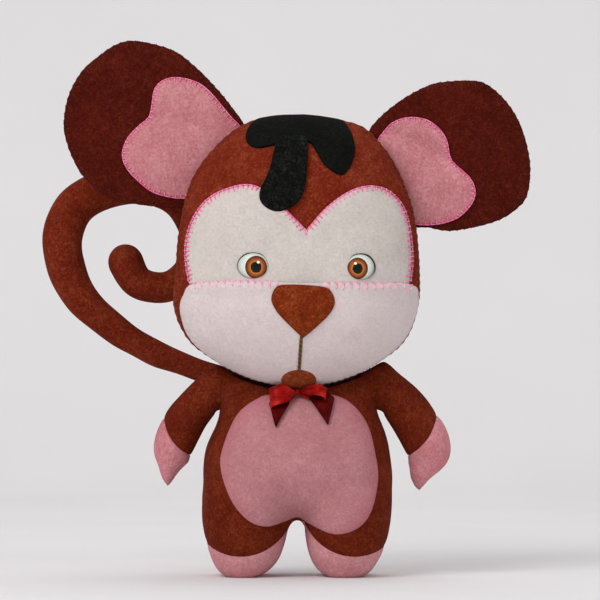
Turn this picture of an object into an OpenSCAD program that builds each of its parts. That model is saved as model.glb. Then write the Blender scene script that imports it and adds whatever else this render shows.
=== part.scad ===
// Stuffed felt monkey, standing, with a turning head, bending ears, swinging arms and a curled tail.
// Millimetres. Z is up, the face looks along -Y and the floor is z = 0, midway between the soles.

/* [Felt] */
// Thickness of the felt of every panel and patch
felt_t = 1.5; // [1.2:0.1:1.8]
// Gap between two soft pieces that lie on each other
fit_gap = 0.4; // [0.35:0.05:0.5]

/* [Head] */
// Width of the head over the cheeks
head_w = 123; // [116:1:130]
// Height of the head from chin to crown
head_h = 135.5; // [128:0.5:143]
// How far the face bulges in front of the head seam
head_front = 39; // [34:1:44]
// How far the back of the head bulges behind the head seam
head_back = 36; // [31:1:41]
// How far the head sits forward of the middle of the body
head_forward = 4; // [3:0.5:5]

/* [Face] */
// Width of the nose patch
nose_w = 31; // [26:0.5:35]
// Height of the nose patch
nose_h = 25; // [21:0.5:26]
// Width of the mouth patch
mouth_w = 17; // [13:0.5:21]
// Height of the mouth patch
mouth_h = 8.5; // [6:0.5:10]
// Thickness of the thread between nose and mouth
lip_thread_d = 1.4; // [1:0.1:2]
// Width of an eye
eye_w = 16; // [12:0.5:18]
// Height of an eye
eye_h = 13; // [10:0.5:15]
// How far the clear dome of an eye stands above its print
eye_dome_h = 2.2; // [1.5:0.1:3]

/* [Ears] */
// Length of the left ear along its axis
ear_left_len = 91; // [84:1:98]
// Width of the left ear
ear_left_w = 79; // [72:1:86]
// Length of the right ear along its axis
ear_right_len = 81; // [74:1:88]
// Width of the right ear
ear_right_w = 74; // [67:1:81]
// How far the middle of the left ear stands off the head
ear_left_out = 33; // [31:0.5:35]
// How far the middle of the right ear stands off the head
ear_right_out = 27.5; // [26:0.5:29]
// Greatest thickness of an ear
ear_thick = 8.6; // [7.6:0.2:10]
// Gap between the root of an ear and the head
ear_gap = 0.1; // [0:0.05:0.3]

/* [Body] */
// Width of the body at the hips
body_w = 95; // [89:1:101]
// Depth of the body at the belly
body_depth = 66; // [60:1:72]
// Width over the shoulders
shoulder_w = 80; // [76:1:84]
// Height of the seat of the head above the floor
neck_z = 95; // [91:0.5:101]
// Height of the crotch above the floor
crotch_h = 30; // [27:0.5:33]
// Gap between the legs at the crotch
leg_gap = 8; // [6:0.5:11]
// Width of the flat of a sole
sole_w = 18; // [14:0.5:21]
// Length of the flat of a sole
sole_len = 38; // [34:1:42]
// Radius of the curved seam between leg and foot
foot_seam_r = 28; // [26:0.5:30]

/* [Arms] */
// Length of an arm from the shoulder to the point of the hand
arm_len = 55; // [51:0.5:59]
// Greatest width of the left arm
arm_left_w = 22; // [19:0.5:25]
// Greatest width of the right arm
arm_right_w = 26; // [22:0.5:28]
// Greatest thickness of an arm
arm_thick = 20; // [16:0.5:22]

/* [Tail] */
// Greatest diameter of the tail
tail_d = 20.5; // [18:0.5:22]
// Diameter of the tail where it leaves the body
tail_base_d = 11; // [10:0.5:14]
// How far the curl of the tail lies behind the middle of the body
tail_back = 40; // [38:0.5:44]
// How far the curl of the tail reaches to the left of the middle
tail_reach = 121; // [117:0.5:125]
// How far the curl of the tail rises above the shoulders
tail_rise = 102.5; // [98:0.5:107]
// Diameter of the bending wire inside the tail
tail_wire_d = 2; // [1.5:0.1:2.5]

/* [Neck and ribbon] */
// Diameter of the wooden stick that carries the head
dowel_d = 8; // [6:0.5:10]
// Length of the wooden stick
dowel_len = 120; // [100:1:140]
// Width of the ribbon
ribbon_w = 11; // [8:0.5:12]
// Thickness of the ribbon
ribbon_t = 0.8; // [0.6:0.1:1]

/* [Hidden] */
chin_z = neck_z + fit_gap;
head_y = -head_forward;
head_mid = [0, chin_z + 0.4 * head_h];
head_full = 2.5;
body_full = 2.5;
lay = 2 * fit_gap;
patch_lift = lay + felt_t;
seam = fit_gap;
shoulder_x = shoulder_w / 2 + fit_gap;
shoulder_z = neck_z - 1.5;
torso_top = neck_z + 8;
leg_half = (body_w - leg_gap) / 4;
leg_mid = (body_w + leg_gap) / 4;
ear_y = head_y + 6;
ear_half = ear_thick / 2 - seam / 2;
dowel_base = chin_z - 0.45 * dowel_len;
neck_hole = dowel_d / 2 + 2;
muzzle_line = 0.384;
lining_room = 2.4;

felt_brown = "#621f12";
felt_dark = "#4c140c";
felt_pink = "#c07f83";
felt_white = "#d8cfc9";
felt_black = "#161715";
fibre = "#ece7df";
satin_red = "#9a1d1a";

// Which part to show

// Curves

function spline(a, b, c, d, t) =
    0.5 * (2 * b + (c - a) * t + (2 * a - 5 * b + 4 * c - d) * t * t + (3 * b - a - 3 * c + d) * t * t * t);

function closed_curve(p, per) = let (n = len(p)) [
    for (i = [0 : n - 1], j = [0 : per - 1])
        spline(p[(i + n - 1) % n], p[i], p[(i + 1) % n], p[(i + 2) % n], j / per)
];

function open_curve(p, per) = let (n = len(p) - 1) [
    for (i = [0 : n - 1], j = [0 : per - 1])
        spline(p[max(i - 1, 0)], p[i], p[i + 1], p[min(i + 2, n)], j / per),
    p[n]
];

function backwards(list) = [for (i = [len(list) - 1 : -1 : 0]) list[i]];
function unit(v) = v / norm(v);

// Multiples of a direction at which a ray meets a closed outline
function hits(loop, from, way) = let (n = len(loop)) [
    for (i = [0 : n - 1])
        let (a = loop[i] - from, e = loop[(i + 1) % n] - loop[i], den = cross(way, e))
            if (abs(den) > 1e-9)
                let (t = cross(a, e) / den, u = cross(a, way) / den)
                    if (t > 0 && u >= -1e-9 && u <= 1 + 1e-9) t
];

// Share of the way from the middle of an outline to its edge
function edge_share(loop, mid, p) = norm(p - mid) < 0.01 ? 0 : 1 / max(hits(loop, mid, p - mid));

// Rounded section of a stuffed form, 1 at the middle and 0 at the seam
function bulge(s, full) = pow(max(1 - pow(min(s, 1), full), 0), 1 / full);

// Outline moved inward by t along the rays from its middle
function shrink(loop, mid, t) = [for (p = loop) mid + (p - mid) * (1 - t / norm(p - mid))];

// Solids

// Closed skin over rings of points, with a point at each end or the last ring joined to the first
module loft(rings, first = undef, last = undef) {
    n = len(rings[0]);
    k = len(rings);
    ends = is_undef(first);
    points = [each [for (r = rings) each r], if (!ends) first, if (!ends) last];
    sides = [
        for (j = [0 : ends ? k - 1 : k - 2], i = [0 : n - 1])
            let (a = j * n + i, b = j * n + (i + 1) % n, up = ((j + 1) % k) * n)
                let (c = up + i, d = up + (i + 1) % n)
                    each [[a, d, b], [a, c, d]]
    ];
    caps = [for (i = [0 : n - 1])
        let (m = (i + 1) % n, z = (k - 1) * n)
            each [[k * n, i, m], [k * n + 1, z + m, z + i]]];
    polyhedron(points, ends ? sides : concat(sides, caps));
}

// Rings of one side of a stuffed form, from the seam to the crest
function dome_rings(loop, mid, y, depth, full, angles) = [
    for (a = angles)
        let (s = pow(cos(a), 2 / full), h = pow(sin(a), 2 / full))
            [for (p = loop) let (q = mid + (p - mid) * s) [q.x, y + depth * h, q.y]]
];

dome_angles = [0, 18, 36, 54, 72];

// Felt panel over one side of a stuffed form
module panel(loop, mid, y, depth, full, t, angles) {
    in_loop = shrink(loop, mid, t);
    in_depth = depth - sign(depth) * t;
    outer = dome_rings(loop, mid, y, depth, full, angles);
    inner = dome_rings(in_loop, mid, y, in_depth, full, angles);
    tip = [mid.x, y + depth, mid.y];
    in_tip = [mid.x, y + in_depth, mid.y];
    if (depth < 0) {
        loft(concat(backwards(inner), outer), in_tip, tip);
    } else {
        loft(concat(backwards(outer), inner), tip, in_tip);
    }
}

// Stuffing with two bulging sides
module pillow(loop, mid, y, front, back, full, angles) {
    rear = dome_rings(loop, mid, y, back, full, angles);
    fore = dome_rings(loop, mid, y, -front, full, [for (i = [1 : len(angles) - 1]) angles[i]]);
    loft(concat(backwards(rear), fore), [mid.x, y + back, mid.y], [mid.x, y - front, mid.y]);
}

// Patch of an outline laid on a skin, low and high above it
module patch(loop, mid, skin, low, high, steps) {
    under = [for (s = steps) [for (p = loop) skin(mid + (p - mid) * s, low)]];
    over = [for (s = backwards(steps)) [for (p = loop) skin(mid + (p - mid) * s, high(s))]];
    loft(concat(under, over), skin(mid, low), skin(mid, high(0)));
}

flat_patch = function (low) function (s) low + felt_t;

// Head

head_side = [[0, 0], [0.32, 0.019], [0.62, 0.079], [0.86, 0.168], [0.985, 0.295], [0.997, 0.425],
    [0.95, 0.645], [0.8, 0.822], [0.45, 0.972], [0, 1]];
head_points = concat(head_side, [for (i = [len(head_side) - 2 : -1 : 1]) [-head_side[i].x, head_side[i].y]]);

// Point of the face from shares of the half width and of the height above the chin
function on_face(u) = [u.x * head_w / 2, chin_z + u.y * head_h];

head_loop = closed_curve([for (u = head_points) on_face(u)], 2);

function face_y(p) = head_y - head_front * bulge(edge_share(head_loop, head_mid, p), head_full);

// Point above the face, held inside the given share of the outline
function face_skin(p, lift, keep) =
    let (s = edge_share(head_loop, head_mid, p))
    let (q = s > keep ? head_mid + (p - head_mid) * keep / s : p, h = 0.5)
    let (dx = (face_y(q + [h, 0]) - face_y(q - [h, 0])) / (2 * h))
    let (dz = (face_y(q + [0, h]) - face_y(q - [0, h])) / (2 * h))
    [q.x, face_y(q), q.y] + lift * unit([dx, -1, dz]);

face = function (p, lift) face_skin(p, lift, 0.955);
crown = function (p, lift) face_skin(p, lift, 0.98);

module neck_bore(r, top) {
    translate([0, head_y, -1])
        cylinder(h = top + 1, r = r, $fn = 48);
}

module head_front_panel() {
    color(felt_brown)
        difference() {
            panel(head_loop, head_mid, head_y - seam / 2, -head_front, head_full, felt_t, dome_angles);
            neck_bore(neck_hole, chin_z + 12);
        }
}

module head_back_panel() {
    color(felt_brown)
        difference() {
            panel(head_loop, head_mid, head_y + seam / 2, head_back, head_full, felt_t, dome_angles);
            neck_bore(neck_hole, chin_z + 12);
        }
}

module head_stuffing() {
    t = felt_t + fit_gap;
    color(fibre)
        difference() {
            pillow(shrink(head_loop, head_mid, t), head_mid, head_y, head_front - t, head_back - t, head_full,
                dome_angles);
            neck_bore(dowel_d / 2 + fit_gap, dowel_base + dowel_len + fit_gap);
        }
}

// Face

mask_points = [[0, 0.391], [0.45, 0.391], [0.84, 0.392], [0.905, 0.42], [0.912, 0.52], [0.86, 0.645],
    [0.745, 0.714], [0.59, 0.737], [0.415, 0.717], [0.23, 0.657], [0.068, 0.574], [-0.088, 0.644],
    [-0.257, 0.716], [-0.43, 0.741], [-0.685, 0.702], [-0.832, 0.627], [-0.9, 0.525], [-0.88, 0.42],
    [-0.82, 0.392], [-0.45, 0.391]];

module face_mask() {
    loop = closed_curve([for (u = mask_points) on_face(u)], 2);
    color(felt_white)
        patch(loop, on_face([0.03, 0.5]), face, lay, flat_patch(lay), [0.3, 0.56, 0.76, 0.9, 1]);
}

muzzle_points = [[0, 0.01], [0.33, 0.03], [0.62, 0.09], [0.86, 0.178], [0.985, 0.29], [0.97, 0.352],
    [0.84, muzzle_line - 0.004], [0.4, muzzle_line], [0, muzzle_line], [-0.4, muzzle_line],
    [-0.84, muzzle_line - 0.006], [-0.955, 0.345], [-0.96, 0.285], [-0.84, 0.182], [-0.6, 0.092],
    [-0.32, 0.032]];

module muzzle() {
    loop = closed_curve([for (u = muzzle_points) on_face(u)], 2);
    color("#d2c4c2")
        patch(loop, on_face([0.01, 0.2]), face, lay, flat_patch(lay), [0.3, 0.56, 0.76, 0.9, 1]);
}

nose_mid = on_face([0.04, muzzle_line - 0.006]) - [0, nose_h / 2];
nose_points = [[0, -1], [0.42, -0.58], [0.82, -0.1], [1, 0.38], [0.82, 0.85], [0.4, 0.96], [-0.4, 0.96],
    [-0.82, 0.85], [-1, 0.38], [-0.82, -0.1], [-0.42, -0.58]];

module nose() {
    low = patch_lift + fit_gap;
    loop = closed_curve([for (u = nose_points) nose_mid + [u.x * nose_w / 2, u.y * nose_h / 2]], 2);
    color("#752d14")
        patch(loop, nose_mid, face, low, function (s) low + felt_t * (2 - s * s), [0.5, 1]);
}

mouth_mid = on_face([0.008, 0.036]);

module mouth() {
    low = patch_lift + fit_gap;
    loop = [for (i = [0 : 19]) mouth_mid + [cos(i * 18) * mouth_w / 2, sin(i * 18) * mouth_h / 2]];
    color("#6d2d1a")
        patch(loop, mouth_mid, face, low, flat_patch(low), [0.55, 1]);
}

module lip_thread() {
    top = nose_mid - [1, nose_h / 2 + 0.5];
    end = mouth_mid + [0, mouth_h / 2 + 0.5];
    lift = patch_lift + fit_gap / 2 + lip_thread_d / 2;
    rings = [for (i = [0 : 6]) let (p = top + (end - top) * i / 6, c = face(p, lift))
        [for (k = [0 : 7]) c + lip_thread_d / 2 * [cos(k * 45), -sin(k * 45), 0]]];
    color("#6b4a2a")
        loft(backwards([for (r = rings) backwards(r)]), face(end, lift), face(top, lift));
}

eye_points = [[0, -1], [0.55, -0.85], [0.9, -0.45], [1, 0.05], [0.85, 0.55], [0.5, 0.9], [0, 1], [-0.5, 0.88],
    [-0.85, 0.5], [-1, 0], [-0.9, -0.5], [-0.55, -0.86]];
eye_left_mid = on_face([-0.367, 0.448]);
eye_right_mid = on_face([0.515, 0.446]);
eye_print_t = 0.8;

function eye_loop(mid, way, w) =
    let (turned = way > 0 ? eye_points : backwards(eye_points))
    closed_curve([for (u = turned) mid + [way * u.x * w / 2, u.y * eye_h / 2]], 1);

module eye_print(mid, way, w) {
    low = patch_lift + fit_gap;
    color("#d5dccf")
        patch(eye_loop(mid, way, w), mid, face, low, function (s) low + eye_print_t, [1]);
}

module eye_dome(mid, way, w) {
    low = patch_lift + fit_gap * 1.5 + eye_print_t;
    color("#e8efee")
        patch(eye_loop(mid, way, w), mid, face, low,
            function (s) low + 0.4 + (eye_dome_h - 0.4) * (1 - s * s), [0.55, 1]);
}

module eye_left_print() {
    eye_print(eye_left_mid, 1, eye_w);
}

module eye_left_dome() {
    eye_dome(eye_left_mid, 1, eye_w);
}

module eye_right_print() {
    eye_print(eye_right_mid, -1, eye_w * 0.9);
}

module eye_right_dome() {
    eye_dome(eye_right_mid, -1, eye_w * 0.9);
}

hair_crown_points = [[0.225, 1.007], [-0.05, 1.01], [-0.31, 0.99], [-0.41, 0.945], [-0.41, 0.9],
    [-0.32, 0.878], [-0.12, 0.895], [0.08, 0.9], [0.15, 0.862], [0.22, 0.812], [0.355, 0.778], [0.44, 0.83],
    [0.455, 0.9], [0.38, 0.972]];

module hair_crown() {
    loop = closed_curve([for (u = hair_crown_points) on_face(u)], 2);
    color(felt_black)
        patch(loop, on_face([0.13, 0.935]), crown, lay, flat_patch(lay), [0.33, 0.67, 1]);
}

hair_forelock_points = [[-0.05, 0.915], [-0.165, 0.905], [-0.225, 0.8], [-0.305, 0.715], [-0.28, 0.668],
    [-0.17, 0.643], [-0.045, 0.662], [0.045, 0.712], [0.072, 0.8], [0.07, 0.905]];

module hair_forelock() {
    low = patch_lift + fit_gap;
    loop = closed_curve([for (u = hair_forelock_points) on_face(u)], 2);
    color(felt_black)
        patch(loop, on_face([-0.08, 0.78]), crown, low, flat_patch(low), [0.33, 0.67, 1]);
}

// Ears, ovals whose roots follow the head

// Middle of an ear, out from the edge of the head along a ray from the middle of the head
function ear_mid(at, out) =
    let (way = [cos(at), sin(at)])
    head_mid + way * (max(hits(head_loop, head_mid, way)) + out);

function ear_oval(mid, length, width, lean, n) =
    let (root = shrink(head_loop, head_mid, -ear_gap))
    [for (i = [0 : n - 1])
        let (a = i * 360 / n, u = [cos(lean), sin(lean)], v = [-sin(lean), cos(lean)])
            let (way = u * cos(a) * length / 2 + v * sin(a) * width / 2, stop = hits(root, mid, way))
                mid + way * (len(stop) > 0 ? min(1, min(stop)) : 1)];

ear_left_lean = 148;
ear_right_lean = 10;
ear_left_mid = ear_mid(134, ear_left_out);
ear_right_mid = ear_mid(38.5, ear_right_out);
ear_left_loop = ear_oval(ear_left_mid, ear_left_len, ear_left_w, ear_left_lean, 30);
ear_right_loop = ear_oval(ear_right_mid, ear_right_len, ear_right_w, ear_right_lean, 30);
ear_angles = [0, 30, 62];

module ear_front(loop, mid) {
    color(felt_dark)
        panel(loop, mid, ear_y - seam / 2, -ear_half, 2, felt_t, ear_angles);
}

module ear_back(loop, mid) {
    color(felt_dark)
        panel(loop, mid, ear_y + seam / 2, ear_half, 2, felt_t, ear_angles);
}

module ear_batting(loop, mid) {
    t = felt_t + fit_gap;
    color(fibre)
        pillow(shrink(loop, mid, t), mid, ear_y, ear_half - t, ear_half - t, 2, ear_angles);
}

lining_side = [[0.03, 0], [0.11, 0.14], [0.13, 0.33], [0.08, 0.52], [-0.12, 0.66], [-0.36, 0.7], [-0.6, 0.64],
    [-0.95, 0.5], [-1.1, 0.2]];

module ear_lining(loop, mid, length, width, lean) {
    u = [cos(lean), sin(lean)] * length / 2;
    v = [-sin(lean), cos(lean)] * width / 2;
    heart = mid - 0.32 * u;
    half = [for (q = lining_side) mid + u * q.x + v * q.y];
    other = [for (i = [len(lining_side) - 1 : -1 : 1]) mid + u * lining_side[i].x - v * lining_side[i].y];
    full = closed_curve(concat(half, other), 2);
    edge = shrink(head_loop, head_mid, -ear_gap - lining_room);
    cut = [for (p = full)
        let (stop = hits(edge, heart, p - heart))
            heart + (p - heart) * (len(stop) > 0 ? min(1, min(stop)) : 1)];
    ear_surface = function (p) ear_y - seam / 2 - ear_half * bulge(edge_share(loop, mid, p), 2);
    skin = function (p, lift)
        let (h = 0.5)
        let (dx = (ear_surface(p + [h, 0]) - ear_surface(p - [h, 0])) / (2 * h))
        let (dz = (ear_surface(p + [0, h]) - ear_surface(p - [0, h])) / (2 * h))
        [p.x, ear_surface(p), p.y] + lift * unit([dx, -1, dz]);
    color(felt_pink)
        patch(cut, heart, skin, fit_gap * 1.5, flat_patch(fit_gap * 1.5), [0.33, 0.67, 1]);
}

module ear_left_front() {
    ear_front(ear_left_loop, ear_left_mid);
}

module ear_left_back() {
    ear_back(ear_left_loop, ear_left_mid);
}

module ear_left_batting() {
    ear_batting(ear_left_loop, ear_left_mid);
}

module ear_left_lining() {
    ear_lining(ear_left_loop, ear_left_mid, ear_left_len, ear_left_w, ear_left_lean);
}

module ear_right_front() {
    ear_front(ear_right_loop, ear_right_mid);
}

module ear_right_back() {
    ear_back(ear_right_loop, ear_right_mid);
}

module ear_right_batting() {
    ear_batting(ear_right_loop, ear_right_mid);
}

module ear_right_lining() {
    ear_lining(ear_right_loop, ear_right_mid, ear_right_len, ear_right_w, ear_right_lean);
}

// Body

function rise(u) = crotch_h + u * (torso_top - crotch_h);

// Height, half width and half depth of the trunk from crotch to shoulders
torso_levels = [[rise(0), 0.15 * body_w, 0.15 * body_depth], [rise(0.06), 0.37 * body_w, 0.37 * body_depth],
    [rise(0.18), 0.487 * body_w, 0.47 * body_depth], [rise(0.37), 0.495 * body_w, 0.5 * body_depth],
    [rise(0.56), 0.47 * body_w, 0.455 * body_depth], [rise(0.73), 0.495 * shoulder_w, 0.35 * body_depth],
    [rise(0.87), 0.5 * shoulder_w, 0.24 * body_depth], [rise(0.96), 0.475 * shoulder_w, 0.17 * body_depth],
    [rise(1), 0.4 * shoulder_w, 0.11 * body_depth]];

// Height, middle, half width and half depth of a leg from the sole into the trunk
leg_levels = [[0, leg_mid + 1.3, sole_w / 2, sole_len / 2],
    [2.5, leg_mid + 0.8, 0.6 * leg_half, 0.345 * body_depth],
    [8, leg_mid, 0.775 * leg_half, 0.4 * body_depth], [15, leg_mid, 0.88 * leg_half, 0.435 * body_depth],
    [0.82 * crotch_h, leg_mid, 0.96 * leg_half, 0.455 * body_depth],
    [1.15 * crotch_h, leg_mid, leg_half, 0.46 * body_depth],
    [1.5 * crotch_h, leg_mid, 0.975 * leg_half, 0.44 * body_depth],
    [1.8 * crotch_h, leg_mid, 0.55 * leg_half, 0.28 * body_depth]];

function oval(z, x, y, rx, ry, n) = [for (i = [0 : n - 1])
    let (c = cos(i * 360 / n), s = sin(i * 360 / n))
        let (k = pow(pow(abs(c), body_full) + pow(abs(s), body_full), -1 / body_full))
            [x + rx * c * k, y + ry * s * k, z]];

// Trunk and legs together, moved inward by t
module body_form(t) {
    trunk = torso_levels;
    k = len(trunk) - 1;
    loft(
        [for (i = [0 : k])
            let (v = trunk[i], z = v[0] + (i == 0 ? t : i == k ? -t : 0))
                oval(z, 0, 0, v[1] - t, v[2] - t, 22)],
        [0, 0, trunk[0][0] + t], [0, 0, trunk[k][0] - t]);
    leg = leg_levels;
    m = len(leg) - 1;
    for (side = [-1, 1])
        loft(
            [for (i = [0 : m])
                let (v = leg[i], z = i == 0 ? t : i == m ? v[0] - t : max(v[0], t + 0.2 * i))
                    oval(z, side * v[1], 0, v[2] - t, v[3] - t, 16)],
            [side * leg[0][1], 0, t], [side * leg[m][1], 0, leg[m][0] - t]);
}

// Space swept by the underside of the head as it turns, lowered by t
module chin_sweep(t) {
    rim = [for (p = head_loop) if (p.x >= 0 && p.y < head_mid.y) p];
    translate([0, head_y, -t])
        rotate_extrude($fn = 36)
            polygon(concat(rim, [[0, head_mid.y + 20]]));
}

module body_core(t, down) {
    difference() {
        body_form(t);
        chin_sweep(fit_gap + down);
    }
}

// Region of a foot outside its curved seam
module foot_zone(side, r) {
    difference() {
        translate([side > 0 ? 0 : -body_w, -body_depth, -1])
            cube([body_w, 2 * body_depth, crotch_h - 2]);
        translate([side * (leg_mid + 3), 0, 11 + foot_seam_r])
            rotate([90, 0, 0])
                cylinder(h = 3 * body_depth, r = r, center = true, $fn = 40);
    }
}

// Felt of trunk, legs and feet
module body_felt() {
    difference() {
        body_core(0, 0);
        body_core(felt_t, felt_t);
        translate([0, head_y, neck_z - 12])
            cylinder(h = 30, r = neck_hole, $fn = 32);
    }
}

module body_panel(side) {
    resize([body_w, 0, 0])
        difference() {
            body_felt();
            translate([-body_w, side > 0 ? -3 * body_depth + seam / 2 : -seam / 2, -1])
                cube([2 * body_w, 3 * body_depth, 3 * torso_top]);
            foot_zone(-1, foot_seam_r);
            foot_zone(1, foot_seam_r);
        }
}

module body_front() {
    color(felt_brown)
        body_panel(-1);
}

module body_back() {
    color(felt_brown)
        body_panel(1);
}

module body_stuffing() {
    t = felt_t + fit_gap;
    color(fibre)
        difference() {
            resize([body_w - 2 * t, 0, 0])
                body_core(t, t);
            translate([0, head_y, dowel_base - fit_gap])
                cylinder(h = dowel_len, r = dowel_d / 2 + fit_gap / 4, $fn = 48);
        }
}

module foot(side) {
    color(felt_pink)
        minkowski()
            intersection() {
                body_felt();
                foot_zone(side, foot_seam_r + fit_gap);
                translate([-body_w, -body_depth, -1])
                    cube([2 * body_w, 2 * body_depth, crotch_h - 2 - fit_gap]);
            }
}

module foot_left() {
    foot(-1);
}

module foot_right() {
    foot(1);
}

trunk_curve = torso_levels;
leg_curve = leg_levels;

function level(curve, z, k) = lookup(z, [for (v = curve) [v[0], v[k]]]);

function trunk_y(p) =
    let (a = level(trunk_curve, p.y, 1), b = level(trunk_curve, p.y, 2))
    p.y < crotch_h ? 0 : -b * bulge(abs(p.x) / a, body_full);

function leg_y(p) =
    let (x = abs(p.x) - level(leg_curve, p.y, 1), a = level(leg_curve, p.y, 2), b = level(leg_curve, p.y, 3))
    p.y > leg_curve[len(leg_curve) - 1][0] ? 0 : -b * bulge(abs(x) / a, body_full);

function chest_y(p) = min(trunk_y(p), leg_y(p));

chest = function (p, lift)
    let (h = 1.2)
    let (dx = (chest_y(p + [h, 0]) - chest_y(p - [h, 0])) / (2 * h))
    let (dz = (chest_y(p + [0, h]) - chest_y(p - [0, h])) / (2 * h))
    [p.x, chest_y(p), p.y] + lift * unit([dx, -1, dz]);

belly_points = [[0, 0.03], [0.12, -0.01], [0.3, -0.06], [0.54, -0.04], [0.7, 0.04], [0.78, 0.2], [0.78, 0.4],
    [0.72, 0.62], [0.58, 0.79], [0.4, 0.87], [0, 0.88]];

module belly_patch() {
    side = [for (u = belly_points) [u.x * body_w / 2, crotch_h + u.y * (neck_z - crotch_h)]];
    other = [for (i = [len(side) - 2 : -1 : 1]) [-side[i].x, side[i].y]];
    loop = closed_curve(concat(side, other), 2);
    color(felt_pink)
        patch(loop, [0, crotch_h + 0.45 * (neck_z - crotch_h)], chest, 1.3 * lay, flat_patch(1.3 * lay),
            [0.3, 0.56, 0.76, 0.9, 1]);
}

module neck_dowel() {
    color("#c9a36b")
        translate([0, head_y, dowel_base])
            cylinder(h = dowel_len, r = dowel_d / 2, $fn = 48);
}

// Ribbon bow under the chin

bow_z = neck_z - 8;
bow_low = patch_lift + fit_gap;

module bow_knot() {
    color(satin_red)
        translate(chest([0, bow_z], bow_low + 3.2))
            rotate([-25, 0, 0])
                linear_extrude(height = 8, center = true)
                    circle(d = 5, $fn = 32);
}

// One loop of ribbon, seen from above as a drop
module bow_loop(side) {
    drop = closed_curve([[2.8, 0], [6, -1.9], [11, -2.3], [13.4, 0], [11, 2.3], [6, 1.9]], 4);
    inner = [for (p = drop) [8.4, 0] + (p - [8.4, 0]) * (1 - ribbon_t / 2)];
    color(satin_red)
        translate(chest([0, bow_z], bow_low + ribbon_t + fit_gap + 2.6))
            rotate([-25, 0, 0])
                linear_extrude(height = ribbon_w * 0.8, center = true)
                    difference() {
                        polygon([for (p = drop) [side * p.x, p.y]]);
                        polygon([for (p = inner) [side * (p.x + 0.2), p.y * 0.75]]);
                    }
}

module bow_loop_left() {
    bow_loop(-1);
}

module bow_loop_right() {
    bow_loop(1);
}

// One tail of ribbon hanging on the chest, with a pointed end
module bow_tail(side, lean) {
    steps = [0, 0.2, 0.4, 0.6, 0.8, 1];
    half = ribbon_w / 2;
    rings = [for (s = steps)
        let (mid = [side * (9 + lean * s), bow_z + 2 - 15.5 * s])
        let (w = s < 0.5 ? half : half * (1.08 - s) / 0.58)
            let (a = chest(mid - [w, 0], bow_low), b = chest(mid + [w, 0], bow_low))
                let (c = chest(mid + [w, 0], bow_low + ribbon_t), d = chest(mid - [w, 0], bow_low + ribbon_t))
                    [a, b, c, d]];
    first = (rings[0][0] + rings[0][2]) / 2;
    last = (rings[5][0] + rings[5][2]) / 2;
    color(satin_red)
        loft(rings, first, last);
}

module bow_tail_left() {
    bow_tail(-1, 1.5);
}

module bow_tail_right() {
    bow_tail(1, 4);
}

// Arms, flat-rooted at the shoulders and pointed at the hands

// Outward and downward from the shoulder as shares of the length, lean of the ring, half width and half
// thickness as shares of width and thickness, and bow of the ring along the arm
arm_stations = [[0, 0, 90, 0.4, 0.4, 0], [0.118, 0.067, 69, 0.415, 0.45, 0], [0.25, 0.215, 44, 0.43, 0.5, 0],
    [0.39, 0.425, 48, 0.5, 0.49, 3], [0.46, 0.604, 28, 0.41, 0.43, 1], [0.462, 0.722, 18, 0.29, 0.33, 0],
    [0.431, 0.825, 8, 0.12, 0.18, 0]];

// Ring of the arm at station i, moved inward by t; the first ring lies flat on the shoulder
function arm_ring(side, w, i, t) =
    let (v = arm_stations[i], out = [cos(v[2]), sin(v[2])], along = [sin(v[2]), -cos(v[2])])
    let (mid = [shoulder_x + v[0] * arm_len, shoulder_z - v[1] * arm_len])
    let (half = v[3] * w - t, deep = v[4] * arm_thick - t)
    [for (k = [0 : 15])
        let (c = cos(k * 22.5), s = sin(k * 22.5), q = mid + out * half * c + along * v[5] * s * s)
            [side * q.x, -side * deep * s, q.y]];

function arm_tip(side, t) = [side * (shoulder_x + 0.418 * arm_len), 0, shoulder_z - 0.9 * arm_len + t];

module arm_sleeve(side, w) {
    outer = [for (i = [0 : 3]) arm_ring(side, w, i, 0)];
    inner = [for (i = [3 : -1 : 0]) arm_ring(side, w, i, felt_t)];
    color(felt_brown)
        loft(concat(outer, inner));
}

module hand(side, w) {
    drop = [side * sin(45), 0, -cos(45)] * fit_gap;
    edge = [for (p = arm_ring(side, w, 3, 0)) p + drop];
    hem = [for (p = arm_ring(side, w, 3, felt_t)) p + drop];
    outer = [for (i = [4 : 6]) arm_ring(side, w, i, 0)];
    inner = [for (i = [6 : -1 : 4]) arm_ring(side, w, i, felt_t * (i == 6 ? 0.6 : 1))];
    color(felt_pink)
        loft(concat(inner, [hem, edge], outer), arm_tip(side, 2 * felt_t), arm_tip(side, 0));
}

module arm_stuffing(side, w) {
    t = felt_t + fit_gap;
    rings = [for (i = [0 : 5]) arm_ring(side, w, i, t)];
    color(fibre)
        loft(rings, [side * shoulder_x, 0, shoulder_z], arm_tip(side, 0.12 * arm_len));
}

module arm_left_sleeve() {
    arm_sleeve(-1, arm_left_w);
}

module hand_left() {
    hand(-1, arm_left_w);
}

module arm_left_stuffing() {
    arm_stuffing(-1, arm_left_w);
}

module arm_right_sleeve() {
    arm_sleeve(1, arm_right_w);
}

module hand_right() {
    hand(1, arm_right_w);
}

module arm_right_stuffing() {
    arm_stuffing(1, arm_right_w);
}

// Tail, a stuffed tube curling up behind the left ear and the head

tail_z = neck_z - 8;
tail_root_y = level(trunk_curve, tail_z - tail_base_d / 2, 2);

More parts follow.
